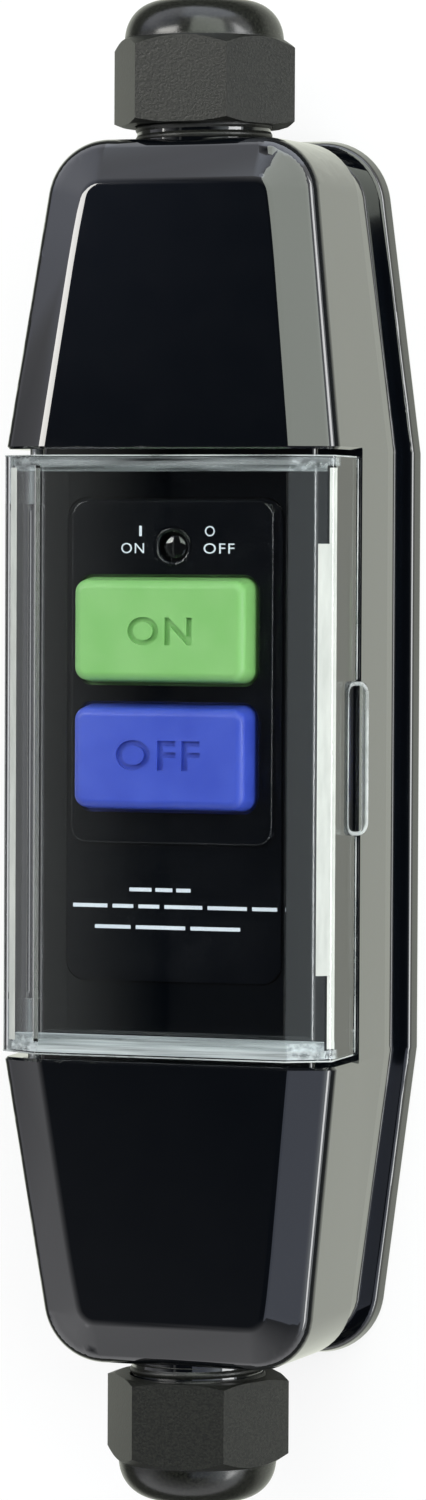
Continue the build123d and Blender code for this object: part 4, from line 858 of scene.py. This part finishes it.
def makeIndicator(look):
    # The rim's top is half a circle, and the dome's the upper part of an ellipse
    turn = np.linspace(0, np.pi, look["rimPoints"])
    middle = (look["rimInner"] + look["rimOuter"]) / 2
    half = (look["rimOuter"] - look["rimInner"]) / 2
    rim = np.stack([middle + half * np.cos(turn),
                    look["rimTop"] - half + half * np.sin(turn)], -1).tolist()
    rim += [(look["rimInner"], look["rimFloor"]), (look["rimOuter"], look["rimFloor"])]
    spinProfile("indicator_rim", rim, look["middle"], finishes["panel_black"])
    rise = np.linspace(np.pi / 2, look["domeEdge"], look["domePoints"])
    dome = np.stack([look["domeRadius"] * np.cos(rise) / np.cos(look["domeEdge"]),
                     look["domeFoot"] + look["domeRise"] * np.sin(rise)], -1).tolist()
    under = look["domeFoot"] - look["domeUnder"]
    dome += [(look["domeRadius"], under), (0.0, under)]
    spinProfile("indicator_dome", dome, look["middle"], finishes["lens_clear"])


makeIndicator(indicatorLook)
print("indicator set")

# Printed bars in place of a notice, in millimetres: the level of the panel's lower face, how high the
# bars are, and for each row its middle along Y and where each dash starts and ends
noticeLook = {
    "level": 35.0, "height": 0.55,
    "rows": {
        "notice_row_1": (-19.65, [(-6.8, -3.4), (-2.8, -0.2), (0.4, 2.6)]),
        "notice_row_2": (-22.1, [(-15.5, -10.2), (-9.4, -6.2), (-5.4, -2.2), (-1.4, 4.4), (5.2, 11.2),
                                 (12.0, 15.8)]),
        "notice_row_3": (-25.15, [(-12.1, -6.6), (-5.8, 1.8), (2.6, 10.2)]),
    },
}


def printBars(name, middle, height, spans, level):
    # Each dash is a flat plate as thick as ink, its underside sunk into the panel
    corners = np.array([(x, middle + dy * height / 2, level + z) for x0, x1 in spans
                        for z in panelPrint["reach"] for x, dy in ((x0, -1), (x1, -1), (x1, 1), (x0, 1))])
    box = np.array([(0, 3, 2, 1), (4, 5, 6, 7), (0, 1, 5, 4), (1, 2, 6, 5), (2, 3, 7, 6), (3, 0, 4, 7)])
    faces = np.concatenate([box + 8 * i for i in range(len(spans))])
    mesh = bpy.data.meshes.new(name)
    mesh.from_pydata((corners * mm).tolist(), [], faces.tolist())
    finishPiece(name, mesh, finishes["print_white"], "housing", smooth=False)


for name, (middle, spans) in noticeLook["rows"].items():
    printBars(name, middle, noticeLook["height"], spans, noticeLook["level"])
print("notice printed")

# Thread on the spout under each gland nut, in millimetres. Over half a pitch a flank rises by steepness
# times the thread's depth, from rootShare of that depth under the root.
spoutThread = {"root": 9.8, "crest": 10.08, "inner": 9.6, "pitch": 1.5, "start": 90.0, "end": 100.9,
               "axisHeight": 23.0, "steepness": 1.6, "rootShare": 0.3, "turnPoints": 96,
               "alongPoints": 90}


def makeThread(name, side, settings):
    # Radius against place along the axis is a saw with its root and crest cut flat, shifted by the angle
    # over a full turn
    angle = np.linspace(0, 2 * np.pi, settings["turnPoints"], endpoint=False)[:, None]
    along = np.linspace(settings["start"], settings["end"], settings["alongPoints"])[None, :]
    phase = (along / settings["pitch"] + side * angle / (2 * np.pi)) % 1
    depth = settings["crest"] - settings["root"]
    saw = settings["steepness"] * (1 - 2 * np.abs(phase - 0.5)) - settings["rootShare"]
    radius = settings["root"] + depth * np.clip(saw, 0, 1)
    inner = np.full_like(angle, settings["inner"])
    radius = np.concatenate([inner, radius, inner], 1)
    along = np.concatenate([along[:, :1], along, along[:, -1:]], 1) * np.ones_like(angle)
    points = np.stack([radius * np.cos(angle), side * along,
                       radius * np.sin(angle) + settings["axisHeight"]], -1)
    faces = gridFaces(*radius.shape, wrapRows=True, wrapColumns=True)
    if side > 0:
        faces = faces[:, ::-1]
    thread = addMesh(name, points * mm, faces, finishes["gland_nylon"])
    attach(thread, "housing")


makeThread("top_spout_thread", 1, spoutThread)
makeThread("bottom_spout_thread", -1, spoutThread)
print("threads cut")

bpy.context.scene.view_settings.view_transform = "Standard"
